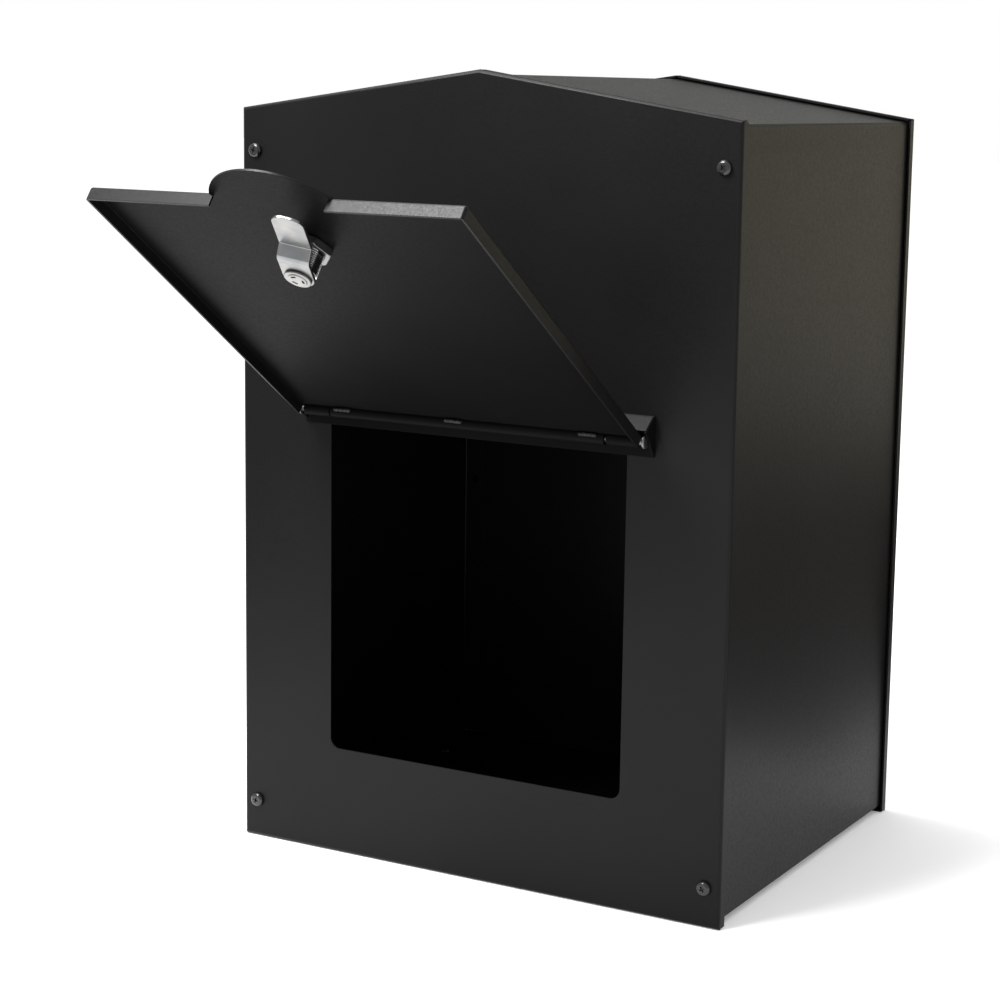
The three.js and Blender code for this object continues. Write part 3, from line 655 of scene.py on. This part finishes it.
rear_tray = gabled_tray("rear_tray")
set_down(rear_tray, Matrix.Translation((0, DEPTH, 0)) @ Matrix.Rotation(pi, 4, "Z"))
for x, z in [(end * x, z) for x, z in RIVET_PLACES for end in (-1, 1)]:
    put_down()
    bpy.ops.mesh.primitive_cone_add(
        vertices=24, radius1=RIVET_THROAT, radius2=RIVET_MOUTH, depth=SHEET + 0.1,
        location=(x, DEPTH - SHEET / 2, z), rotation=ALONG["Y"],
    )
    boolean(rear_tray, named("countersink"))
soften(rear_tray)
fit_piece(rear_tray, IN_BOX, "box", powder_coat, ["rear_panel"])

# %% [markdown]
# ## Sleeve
#
# Both sides and both halves of the roof are one sheet, folded at the eaves and at the ridge. It
# sits just inside the two rims, which leaves a fine dark line round the box. The sheet is
# drawn by extruding one edge round the outline, as a bending plan is drawn. Each side then gets a
# flange at its front and back, which the screws and rivets hold. Bisect marks where one ends.

# %% The sleeve
SIDE_CLEARANCE = 0.7
ROOF_CLEARANCE = 1.2
SLEEVE_INSET = SHEET + SIDE_CLEARANCE
SLEEVE_FRONT = 2.9
SLEEVE_BACK = DEPTH - SHEET - TOUCH_GAP
SLEEVE_FOOT = 5
FLANGE = 18
roof_drop = (SHEET + ROOF_CLEARANCE) / cos(ROOF_SLOPE)
sleeve_side = WIDTH / 2 - SLEEVE_INSET
sleeve_eave = EAVE - roof_drop + SLEEVE_INSET * ROOF_RISE / (WIDTH / 2)
sleeve_peak = PEAK - roof_drop
sleeve_middle = (SLEEVE_FOOT + sleeve_eave) / 2

put_down()
bpy.ops.mesh.primitive_plane_add(size=1, rotation=(0, pi / 2, 0))
bpy.context.object.scale = (sleeve_eave - SLEEVE_FOOT, SLEEVE_BACK - SLEEVE_FRONT, 1)
bpy.context.object.location = (sleeve_side, (SLEEVE_FRONT + SLEEVE_BACK) / 2, sleeve_middle)
sleeve = named("side_and_roof_sleeve")
extrude(sleeve, "EDGE", at(x=sleeve_side, z=sleeve_eave), (-sleeve_side, 0, sleeve_peak - sleeve_eave))
extrude(sleeve, "EDGE", at(x=0, z=sleeve_peak), (-sleeve_side, 0, sleeve_eave - sleeve_peak))
extrude(sleeve, "EDGE", at(x=-sleeve_side, z=sleeve_eave), (0, 0, SLEEVE_FOOT - sleeve_eave))
outside(sleeve, (1, 0, 0))
for x, z in ((sleeve_side, sleeve_eave), (0, sleeve_peak), (-sleeve_side, sleeve_eave)):
    round_edges(sleeve, at(x=x, z=z), FOLD)
print(f"sleeve: {2 * sleeve_side:.1f} mm wide, {sleeve_peak:.1f} mm high at its ridge")


# %% The sleeve's flanges
def on_side(points):
    """A test that passes on the sleeve's two sides."""
    return at(x=sleeve_side)(points) or at(x=-sleeve_side)(points)


def flange_edge(x, y):
    """A test that passes for the long edge at the front or back of a side."""
    def test(points):
        heights = [p.z for p in points]
        return at(x=x, y=y)(points) and min(heights) < sleeve_middle < max(heights)

    return test


for z in (SLEEVE_FOOT + 2 * SHEET, sleeve_eave - FLANGE):
    pick(sleeve, "FACE", on_side)
    bpy.ops.mesh.bisect(plane_co=(0, 0, z), plane_no=(0, 0, 1))
    put_down()
for x in (-sleeve_side, sleeve_side):
    for y in (SLEEVE_FRONT, SLEEVE_BACK):
        extrude(sleeve, "EDGE", flange_edge(x, y), (FLANGE * (-1 if x > 0 else 1), 0, 0))
        round_edges(sleeve, flange_edge(x, y), FOLD)
outside(sleeve, (1, 0, 0))
apply_modifier(sleeve, "SOLIDIFY", thickness=SHEET, offset=-1, use_even_offset=True)
soften(sleeve)
fit_piece(sleeve, IN_BOX, "box", powder_coat, ["body_sleeve"])

# %% [markdown]
# ## Floor pan
#
# The floor is a tray with its rim folded up, riveted to the rear panel. It is seen dimly through
# the opening, and from below. Its corners are notched to clear the sleeve's flanges, and four
# holes in it take the screws that hold the box down.

# %% The floor pan
BASE_HOLE = 3.5
BASE_HOLES = (157, 80)
NOTCH_FRONT = 5.2
NOTCH_TOP = 35
DRILL_TOP = 12

floor_low, floor_high = box_mm("floor_pan")
floor_low, floor_high = floor_low - panel_low, floor_high - panel_low
floor_low.x, floor_high.x = floor_low.x - WIDTH / 2, floor_high.x - WIDTH / 2
put_down()
floor_middle = (0, (floor_low.y + floor_high.y) / 2, floor_high.z)
bpy.ops.mesh.primitive_plane_add(size=1, location=floor_middle)
bpy.context.object.scale = (floor_high.x - floor_low.x, floor_high.y - floor_low.y, 1)
pan = named("floor_tray")
extrude(pan, "FACE", at(z=floor_high.z), (0, 0, floor_low.z - floor_high.z))
pick(pan, "FACE", at(z=floor_high.z))
bpy.ops.mesh.delete(type="ONLY_FACE")
round_edges(pan, at(z=floor_low.z), FOLD)
outside(pan, (0, 0, -1))
apply_modifier(pan, "SOLIDIFY", thickness=SHEET, offset=-1, use_even_offset=True)
notch = sleeve_side - FLANGE - SHEET / 2
for end in (-1, 1):
    for y0, y1 in ((-1, NOTCH_FRONT), (SLEEVE_BACK - SHEET - TOUCH_GAP, DEPTH)):
        x0, x1 = sorted((end * notch, end * WIDTH))
        boolean(pan, block("notch", (x0, y0, 0), (x1, y1, NOTCH_TOP)))
    for way in (-1, 1):
        x, y = end * BASE_HOLES[0], DEPTH / 2 + way * BASE_HOLES[1]
        boolean(pan, rod("drill", BASE_HOLE, "Z", 0, DRILL_TOP, x=x, y=y, sides=32))
soften(pan)
fit_piece(pan, IN_BOX, "box", powder_coat, ["floor_pan"])

# %% [markdown]
# ## Hood
#
# A hood over the hinge keeps rain out. It is a folded strip with a triangular cheek welded to
# each end. The strip is drawn and folded like the trays. A cheek starts as a block, and bisect
# slices it to a triangle, as a guillotine would. The leaf on the panel below the lip, the cheeks
# and the hood's underside get the shade coat, which is painted shade.

# %% The hood
HINGE_Y = (hinge_place.y / MM) - panel_low.y
HINGE_Z = (hinge_place.z / MM) - panel_low.z
HOOD_RISE = 17.6
LIP = (HINGE_Y - 3.9, HINGE_Z + 7.8)
CHEEK_PROUD = 0.25

hood_low, hood_high = box_mm("hinge_hood")
hood_half = hood_high.x
hood_foot, hood_top = hood_low.z - panel_low.z, HINGE_Z + HOOD_RISE


def slice_off(piece, point, normal):
    """Cuts a piece with a plane, removes what lies on the normal's side and closes the cut."""
    pick(piece, "FACE")
    bpy.ops.mesh.bisect(plane_co=point, plane_no=normal, use_fill=True, clear_outer=True)
    put_down()


def in_hood_shade(face):
    """Passes for the hood's cheeks, its underside and its leaf below the lip, where shade is painted.
    """
    on_leaf = face.normal.y < -0.5 and face.center.z < LIP[1]
    return abs(face.normal.x) > 0.99 or on_leaf or face.normal.z < -0.5


hood_width = 2 * (hood_half - CHEEK_PROUD)
hood_middle = (0, -TOUCH_GAP, (hood_top + hood_foot) / 2)
hood = standing_plate("hinge_hood_sheet", hood_width, hood_top - hood_foot, hood_middle)
extrude(hood, "EDGE", at(z=hood_top), (0, LIP[0] + TOUCH_GAP, LIP[1] - hood_top))
outside(hood, (0, 1, 0))
round_edges(hood, at(y=-TOUCH_GAP, z=hood_top), FOLD)
apply_modifier(hood, "SOLIDIFY", thickness=SHEET, offset=-1, use_even_offset=True)
slope = Vector((0, -(hood_top - LIP[1]), -LIP[0] - TOUCH_GAP)).normalized()
for end in (-1, 1):
    x0, x1 = sorted((end * hood_half, end * (hood_half - SHEET)))
    cheek = block("cheek", (x0, LIP[0], hood_foot), (x1, -TOUCH_GAP - SHEET / 2, hood_top))
    slice_off(cheek, Vector((0, LIP[0], LIP[1])) - slope * SHEET / 2, slope)
    fall = Vector((0, LIP[0] + TOUCH_GAP, LIP[1] - SHEET - hood_foot))
    slice_off(cheek, (0, -TOUCH_GAP, hood_foot), Vector((0, -fall.z, fall.y)).normalized())
    boolean(hood, cheek, "UNION")
merge_flats(hood)
soften(hood, 0.3)
# The hood's faces that pass the test get the shade coat: painted shade.
fit_piece(
    hood, IN_BOX, "box", powder_coat, ["hinge_hood"], shade_coat_on=in_hood_shade
)

# %% [markdown]
# ## Hinge
#
# The hinge is a row of tubes on one pin. The two outer tubes stay with the box, and the long one
# between them is tacked to the hatch. A tube is a cylinder whose ends are inset, and the inner
# rings are bridged to make the bore. A tack weld is a row of overlapping drops of metal, which
# a voxel remesh melts into one bead.

# %% Tubes and pin
TUBE = 4
BORE = 2.25
PIN = 2
PIN_HEAD = 1.3
WEB = 3
WEB_INSET = 0.2


def flat_end(points):
    """A test that passes on either end of a bar that lies along X."""
    return max(p.x for p in points) - min(p.x for p in points) < 0.01


def inner_ring(points):
    """A test that passes on the ring round the bore at either end."""
    return flat_end(points) and all(hypot(p.y, p.z) < (TUBE + BORE) / 2 for p in points)


def tube(name, node):
    """A tube along X with the ends of a solid."""
    low, high = box_mm(node)
    piece = rod(name, TUBE, "X", low.x, high.x)
    pick(piece, "FACE", flat_end)
    bpy.ops.mesh.inset(thickness=TUBE - BORE, use_individual=True)
    bpy.ops.mesh.delete(type="FACE")
    pick(piece, "EDGE", inner_ring)
    bpy.ops.mesh.bridge_edge_loops()
    outside(piece, None)
    return piece


# The hinge tubes get the shade coat: their darkness under the hood is painted shade.
for name in ("fixed_knuckle_left", "fixed_knuckle_right"):
    knuckle = tube(name + "_tube", name)
    low, high = box_mm(name)
    web_low = (low.x + WEB_INSET, (TUBE + BORE) / 2, -WEB / 2)
    web_high = (high.x - WEB_INSET, high.y - hinge_place.y / MM, WEB / 2)
    boolean(knuckle, block("web", web_low, web_high), "UNION")
    soften(knuckle)
    fit_piece(knuckle, ON_HINGE, "box", shade_coat, [name])

door_tube = tube("hatch_tube", "door_hinge_tube")
soften(door_tube)
# The hatch's tube gets the shade coat as well: painted shade.
fit_piece(door_tube, ON_DOOR, "door", shade_coat, ["door_hinge_tube"])

pin_low, pin_high = box_mm("hinge_pin")
pin = rod("hinge_pin_rod", PIN, "X", pin_low.x, pin_high.x - PIN_HEAD, sides=32)
head = rod("head", TUBE, "X", pin_high.x - PIN_HEAD, pin_high.x)
round_edges(head, at(x=pin_high.x), PIN_HEAD * 0.75, 5)
boolean(pin, head, "UNION")
soften(pin, 0.15)
fit_piece(pin, ON_HINGE, "box", bare_steel, ["hinge_pin"])

cap = tube("pin_cap_ring", "pin_cap")
soften(cap, 0.2)
fit_piece(cap, ON_HINGE, "box", bare_steel, ["pin_cap"])

# %% Tack welds
WELD_SHARES = (0.048, 0.468, 0.947)
WELD_LENGTH = 12
WELD_DROPS = 6
WELD_DROP_RADIUS = 1.42
WELD_SWAY = 0.16
WELD_PLACE = (0.8, -4.3)
tube_low, tube_high = box_mm("door_hinge_tube")
for i, share in enumerate(WELD_SHARES):
    weld_middle = tube_low.x + share * (tube_high.x - tube_low.x)
    drops = []
    for k in range(WELD_DROPS):
        put_down()
        x = weld_middle + WELD_LENGTH * ((k + 0.5) / WELD_DROPS - 0.5)
        sway = WELD_SWAY * sin(2.4 * k + i)
        bpy.ops.mesh.primitive_uv_sphere_add(
            segments=24, ring_count=12, radius=WELD_DROP_RADIUS,
            location=(x, WELD_PLACE[0] + sway, WELD_PLACE[1] - sway),
        )
        bpy.context.object.scale = (1.0, 0.92 - sway / 2, 1 + sway / 3)
        drops.append(named("drop"))
    bead = drops[0]
    for drop in drops[1:]:
        boolean(bead, drop, "UNION")
    apply_modifier(bead, "REMESH", mode="VOXEL", voxel_size=0.22)
    apply_modifier(bead, "SMOOTH", factor=0.5, iterations=3)
    take(bead)
    bpy.ops.object.shade_smooth()
    bead.name = f"tack_weld_{i + 1}"
    fit_piece(bead, ON_DOOR, "door", seam_paint, ["door_hinge_tube"])

# %% [markdown]
# ## Hatch
#
# The hatch is a tray too, with a rim on three sides and corners that are welded and ground
# round. At its free edge the rim stops for a round tab that a finger pulls. The tab is a disc
# joined to the sheet with Boolean, after the rim there is cut away. That cut ends a hair past the
# bend, because a cut right where the bend starts would leave a sliver.

# %% The hatch
DOOR_FACE = -2.4
DOOR_RIM = 8.6
DOOR_START = 4.2
DOOR_LENGTH = 255.4
DOOR_FOLD = FOLD - 0.6
PAST_BEND = 0.02
TAB_RADIUS = 45.5
TAB_REACH = 280.5
RIM_BREAK = 76

door_half = (box_mm("door_panel")[1].x - box_mm("door_panel")[0].x) / 2

hatch = standing_plate(
    "hatch_panel", 2 * door_half, DOOR_LENGTH - DOOR_START,
    (0, DOOR_FACE + DOOR_RIM, -(DOOR_LENGTH + DOOR_START) / 2),
)
extrude(hatch, "FACE", at(y=DOOR_FACE + DOOR_RIM), (0, -DOOR_RIM, 0))
pick(hatch, "FACE", at(y=DOOR_FACE + DOOR_RIM))
bpy.ops.mesh.delete(type="ONLY_FACE")
pick(hatch, "FACE", at(z=-DOOR_START))
bpy.ops.mesh.delete(type="ONLY_FACE")


def fold_or_corner(points):
    """A test that passes on the hatch's three folds and two corners."""
    fold = at(y=DOOR_FACE)(points) and not at(z=-DOOR_START)(points)
    return fold or (at(z=-DOOR_LENGTH)(points) and along_y(points))


round_edges(hatch, fold_or_corner, DOOR_FOLD)
outside(hatch, (0, -1, 0))
apply_modifier(hatch, "SOLIDIFY", thickness=SHEET, offset=-1, use_even_offset=True)
print(f"hatch: {2 * door_half:.0f} mm wide, {DOOR_LENGTH:.1f} mm below its hinge")

# %% The tab
CUT = 9
rim_foot = DOOR_FOLD + PAST_BEND - DOOR_LENGTH
rim_break = (-RIM_BREAK / 2, -CUT, -DOOR_LENGTH - CUT), (RIM_BREAK / 2, CUT, rim_foot)
boolean(hatch, block("rim_break", *rim_break))
tab_centre = TAB_RADIUS - TAB_REACH
tab = rod("tab", TAB_RADIUS, "Y", DOOR_FACE, DOOR_FACE + SHEET, z=tab_centre, sides=128)
slice_off(tab, (0, 0, rim_foot + 1), (0, 0, 1))
boolean(hatch, tab, "UNION")
print(f"tab: reaches {TAB_REACH} mm below the hinge")

# %% The lock's hole
BARREL = 9.5
BARREL_FLAT = 8.6
HOLE_END = 4


def flatted(piece, half):
    """Slices two flats on a bar that lies along Y."""
    slice_off(piece, (half, 0, 0), (1, 0, 0))
    slice_off(piece, (-half, 0, 0), (-1, 0, 0))
    return piece


drill = flatted(
    rod("drill", BARREL + TOUCH_GAP, "Y", -CUT, HOLE_END, sides=64), BARREL_FLAT + TOUCH_GAP
)
boolean(hatch, set_down(drill, Matrix.Translation((0, 0, -LOCK_REACH))))
merge_flats(hatch)
soften(hatch)
# The hatch's inside face gets the shade coat: painted shade, darker and mirroring less.
fit_piece(
    hatch, ON_DOOR, "door", powder_coat, ["door_panel"],
    shade_coat_on=lambda face: face.normal.y > 0.9 and face.center.y < 0,
)

# %% [markdown]
# ## Cam lock
#
# The lock's threaded barrel goes through the hatch, and a nut clamps it. A turning plug in it
# carries a bent steel cam. The thread is real: a short tooth profile is swept round and along
# the axis by a Screw modifier. Its ends and its two flats are then sliced off and closed, as the
# die-cast barrel has them.

# %% The threaded barrel
PITCH = 1.25
THREAD_DEPTH = 0.8
TURNS = 18
TOOTH = ((0, 0.15), (1, 0.5), (1, 0.65), (0, 1.0))
BARREL_END = 16.8
HEAD_RADIUS = 11.5
HEAD_HEIGHT = 3
PLUG = 7
BORE_END = 20
JOIN = 0.5
head_face = DOOR_FACE - TOUCH_GAP


def threaded_bar(name, start, end):
    """A bar along Y with a thread on it, from one place to another."""
    put_down()
    bpy.ops.mesh.primitive_plane_add(size=1)
    bar = named(name)
    pick(bar, "VERT", lambda points: points[0].x > 0)
    bpy.ops.mesh.delete(type="VERT")
    put_down()
    root = BARREL - THREAD_DEPTH
    tooth = [(BARREL if crest else root, share * PITCH) for crest, share in TOOTH]
    low_end, high_end = bar.data.vertices
    low_end.co, high_end.co = (root, 0, 0), (root, 0, tooth[0][1])
    for (r0, z0), (r1, z1) in zip(tooth, tooth[1:]):
        extrude(bar, "VERT", at(x=r0, z=z0), (r1 - r0, 0, z1 - z0))
    apply_modifier(
        bar, "SCREW", screw_offset=PITCH, iterations=TURNS, steps=48, render_steps=48,
        use_smooth_shade=False,
    )
    pick(bar, "VERT")
    bpy.ops.mesh.remove_doubles(threshold=0.01)
    outside(bar, None)
    set_down(bar, Matrix.Translation((0, start - 1.5 * PITCH, 0)) @ Matrix.Rotation(-pi / 2, 4, "X"))
    slice_off(bar, (0, start, 0), (0, -1, 0))
    slice_off(bar, (0, end, 0), (0, 1, 0))
    outside(bar, None)
    return bar


barrel = flatted(threaded_bar("lock_barrel_thread", head_face - JOIN, BARREL_END), BARREL_FLAT)
outside(barrel, None)
crown = rod("crown", HEAD_RADIUS, "Y", head_face - HEAD_HEIGHT, head_face, sides=64)
round_edges(crown, at(y=head_face - HEAD_HEIGHT), 1, 4)
boolean(barrel, crown, "UNION")
boolean(barrel, rod("bore", PLUG + TOUCH_GAP, "Y", -CUT, BORE_END, sides=64))
take(barrel)
bpy.ops.object.shade_smooth_by_angle(angle=radians(30))
# How deep in a groove each point lies, which the thread's painted shade reads.
groove = barrel.data.attributes.new(GROOVE, "FLOAT", "POINT")
for vertex, depth_here in zip(barrel.data.vertices, groove.data):
    from_axis = hypot(vertex.co.x, vertex.co.z)
    on_thread = head_face < vertex.co.y < BARREL_END - 0.1 and from_axis > PLUG + JOIN
    depth_here.value = min(1, (BARREL - from_axis) / THREAD_DEPTH) if on_thread else 0
fit_piece(barrel, ON_LOCK, "door", cut_thread, ["lock_barrel"])

# %% [markdown]
# A hexagon nut has its corners turned off at both ends. A six-sided bar gets the same shape by
# keeping only what it shares with a round blank whose rims are bevelled.

# %% The nut
NUT_FLATS = 24
NUT_HEIGHT = 5
NUT_TURN = radians(12)
NUT_CHAMFER = 1.1
NUT_CLEARANCE = 0.12
nut_start = DOOR_FACE + SHEET + TOUCH_GAP
nut_end = nut_start + NUT_HEIGHT
across = NUT_FLATS / 2 / cos(pi / 6)
nut = rod("clamping_nut", across, "Y", nut_start, nut_end, sides=6)
set_down(nut, Matrix.Rotation(pi / 6 - NUT_TURN, 4, "Y"))
blank = rod("blank", across - 0.1, "Y", nut_start, nut_end, sides=96)
both_ends = lambda points: at(y=nut_end)(points) or at(y=nut_start)(points)
round_edges(blank, both_ends, NUT_CHAMFER, 3)
boolean(nut, blank, "INTERSECT")
boolean(nut, rod("bore", BARREL + NUT_CLEARANCE, "Y", -CUT, BORE_END, sides=64))
soften(nut, 0.3, 3)
fit_piece(nut, ON_LOCK, "door", lock_chrome, ["lock_nut"])

# %% [markdown]
# The cam is punched from thick plate and stepped towards the hatch, so that its tongue reaches
# behind the front panel. It is drawn as a folded strip and then cut to its outline by keeping
# only what a rounded punch has in common with it.

# %% The cam
CAM_WIDTH = 19
CAM_REACH = 52.4
CAM_PLATE = 2
CAM_END = 20.4
CAM_STEP = 7
CAM_FOLDS = (18.9, 23.4)
CAM_BEND = 0.8
CAM_TIP = 7
TRIM = 1
PUNCH_END = 30
SQUARE_HALF = 4.6

outer_fold, inner_fold = CAM_FOLDS
plate_length = outer_fold + CAM_WIDTH / 2 + TRIM
plate_middle = (0, CAM_END, plate_length / 2 - outer_fold)
cam = standing_plate("lock_tongue", CAM_WIDTH + 2 * TRIM, plate_length, plate_middle)
extrude(cam, "EDGE", at(z=-outer_fold), (0, -CAM_STEP, outer_fold - inner_fold))
extrude(cam, "EDGE", at(z=-inner_fold), (0, 0, inner_fold - CAM_REACH - TRIM))
outside(cam, (0, 1, 0))
round_edges(cam, at(z=-outer_fold), CAM_PLATE + CAM_BEND)
round_edges(cam, at(z=-inner_fold), 0.5, 4)
apply_modifier(cam, "SOLIDIFY", thickness=CAM_PLATE, offset=-1, use_even_offset=True)

punch = block("punch", (-CAM_WIDTH / 2, 0, -CAM_REACH), (CAM_WIDTH / 2, PUNCH_END, 0))
tip_corners = lambda points: at(z=-CAM_REACH)(points) and along_y(points)
round_edges(punch, tip_corners, CAM_TIP, 12)
boolean(punch, rod("round_end", CAM_WIDTH / 2, "Y", 0, PUNCH_END, sides=96), "UNION")
boolean(cam, punch, "INTERSECT")
square_low, square_high = (-SQUARE_HALF, 0, -SQUARE_HALF), (SQUARE_HALF, PUNCH_END, SQUARE_HALF)
boolean(cam, block("square_hole", square_low, square_high))
soften(cam, 0.45, 4)
fit_piece(cam, IN_LOCK, "lock_core", lock_chrome, ["lock_cam"])

# %% [markdown]
# A flat screw with three notches for a special key holds the cam. Its head is a disc with a
# slightly smaller boss on it. One rounded cutter, turned by a third each time, cuts the notches.

# %% The cam's screw
DISC_RADIUS = 8
DISC_HEIGHT = 1.8
BOSS_RADIUS = 5.76
BOSS_HEIGHT = 0.5
SHANK = 2.4
SHANK_LENGTH = 9
NOTCH_HALF = 1.7
NOTCH_DEPTH = 0.8
NOTCH_SPAN = (2.9, 4.3)
NOTCH_TURNS = (90, 210, 330)
disc_seat = CAM_END + TOUCH_GAP
disc_top = disc_seat + DISC_HEIGHT
disc = rod("cam_screw_disc", DISC_RADIUS, "Y", disc_seat, disc_top - BOSS_HEIGHT, sides=96)
round_edges(disc, at(y=disc_top - BOSS_HEIGHT), 0.4, 3)
boss = rod("boss", BOSS_RADIUS, "Y", disc_seat + JOIN, disc_top, sides=96)
round_edges(boss, at(y=disc_top), 0.35, 3)
boolean(disc, boss, "UNION")
shank = rod("shank", SHANK, "Y", disc_top - SHANK_LENGTH, disc_seat + JOIN, sides=32)
boolean(disc, shank, "UNION")
for turn in NOTCH_TURNS:
    notch_low = (-NOTCH_HALF, disc_top - NOTCH_DEPTH, NOTCH_SPAN[0])
    notch_high = (NOTCH_HALF, disc_top + 1, NOTCH_SPAN[1])
    key_notch = block("key_notch", notch_low, notch_high)
    round_edges(key_notch, along_y, 0.45, 3)
    boolean(disc, set_down(key_notch, Matrix.Rotation(radians(turn), 4, "Y")))
soften(disc, 0.12)
fit_piece(disc, IN_LOCK, "lock_core", lock_chrome, ["lock_cam_screw"])

# %% [markdown]
# ## Front screws
#
# Four black pan-head screws hold the front panel. The head is a short cylinder with a large
# bevel, and the cross in it is cut by two wedges. One screw is modelled and copied three times.

# %% The screws
SCREW_HEAD = 4.75
SCREW_HEIGHT = 2.7
SCREW_DOME = 2.0
SCREW_SHANK = 2.5
SCREW_LENGTH = 11
CROSS_HALF = 2.5
CROSS_WIDTH = 1.1
CROSS_DEPTH = 1.5
CROSS_TURN = radians(20)
CROSS_TAPER = (0.45, 1, 0.6)
TURN_STEP = 0.7

head_top = -TOUCH_GAP - SCREW_HEIGHT
screw = rod("front_screw_a", SCREW_HEAD, "Y", head_top, -TOUCH_GAP, sides=64)
round_edges(screw, at(y=head_top), SCREW_DOME, 8)
shank = rod("shank", SCREW_SHANK, "Y", -TOUCH_GAP - JOIN, SCREW_LENGTH, sides=32)
boolean(screw, shank, "UNION")
for turn in (0, pi / 2):
    wedge_low = (-CROSS_HALF, head_top - 1, -CROSS_WIDTH / 2)
    wedge_high = (CROSS_HALF, head_top + CROSS_DEPTH, CROSS_WIDTH / 2)
    wedge = block("wedge", wedge_low, wedge_high)
    pick(wedge, "FACE", at(y=head_top + CROSS_DEPTH))
    bpy.ops.transform.resize(value=CROSS_TAPER)
    put_down()
    boolean(screw, set_down(wedge, Matrix.Rotation(turn + CROSS_TURN, 4, "Y")))
soften(screw, 0.1)
for i, (x, z) in enumerate(screw_places):
    copy = screw.copy()
    copy.data = screw.data.copy()
    copy.name = f"pan_head_screw_{i + 1}"
    bpy.context.scene.collection.objects.link(copy)
    place = IN_BOX @ Matrix.Translation((x, 0, z)) @ Matrix.Rotation(TURN_STEP * i, 4, "Y")
    fit_piece(copy, place, "box", black_screw, [f"front_screw_{i + 1}"])
bpy.data.objects.remove(screw)

# %% [markdown]
# ## Plain pieces
#
# The rear rivets are flush and painted over, the blind nuts sit out of sight behind the front
# panel, and the lock's plug and stop washer lie inside the lock. Their solids are as plain as the
# real ones, so they keep their shape and only get a finish.

# %% The solids that keep their shape
# The rear rivets get the shade coat: painted shade, as on the box's inside round them.
PLAIN_FINISHES = {"rear_rivet": shade_coat, "front_insert": rivet_aluminium, "lock": lock_chrome}
for name in frame["nodes"]:
    node = frame["nodes"][name]
    if node.hide_render:
        continue
    kept = next(paint for start, paint in PLAIN_FINISHES.items() if name.startswith(start))
    node.data.materials.clear()
    node.data.materials.append(kept)
    print(name, "keeps its solid")

# %% [markdown]
# ## Sizes
#
# Both sizes are printed: the solids' box at the start and the modelled box here. The
# modelled box has to be as large as the solids' box.

# %% The sizes of both models
put_down()
low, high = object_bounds()
print("visual box:", [round(v, 4) for v in (*low, *high)])
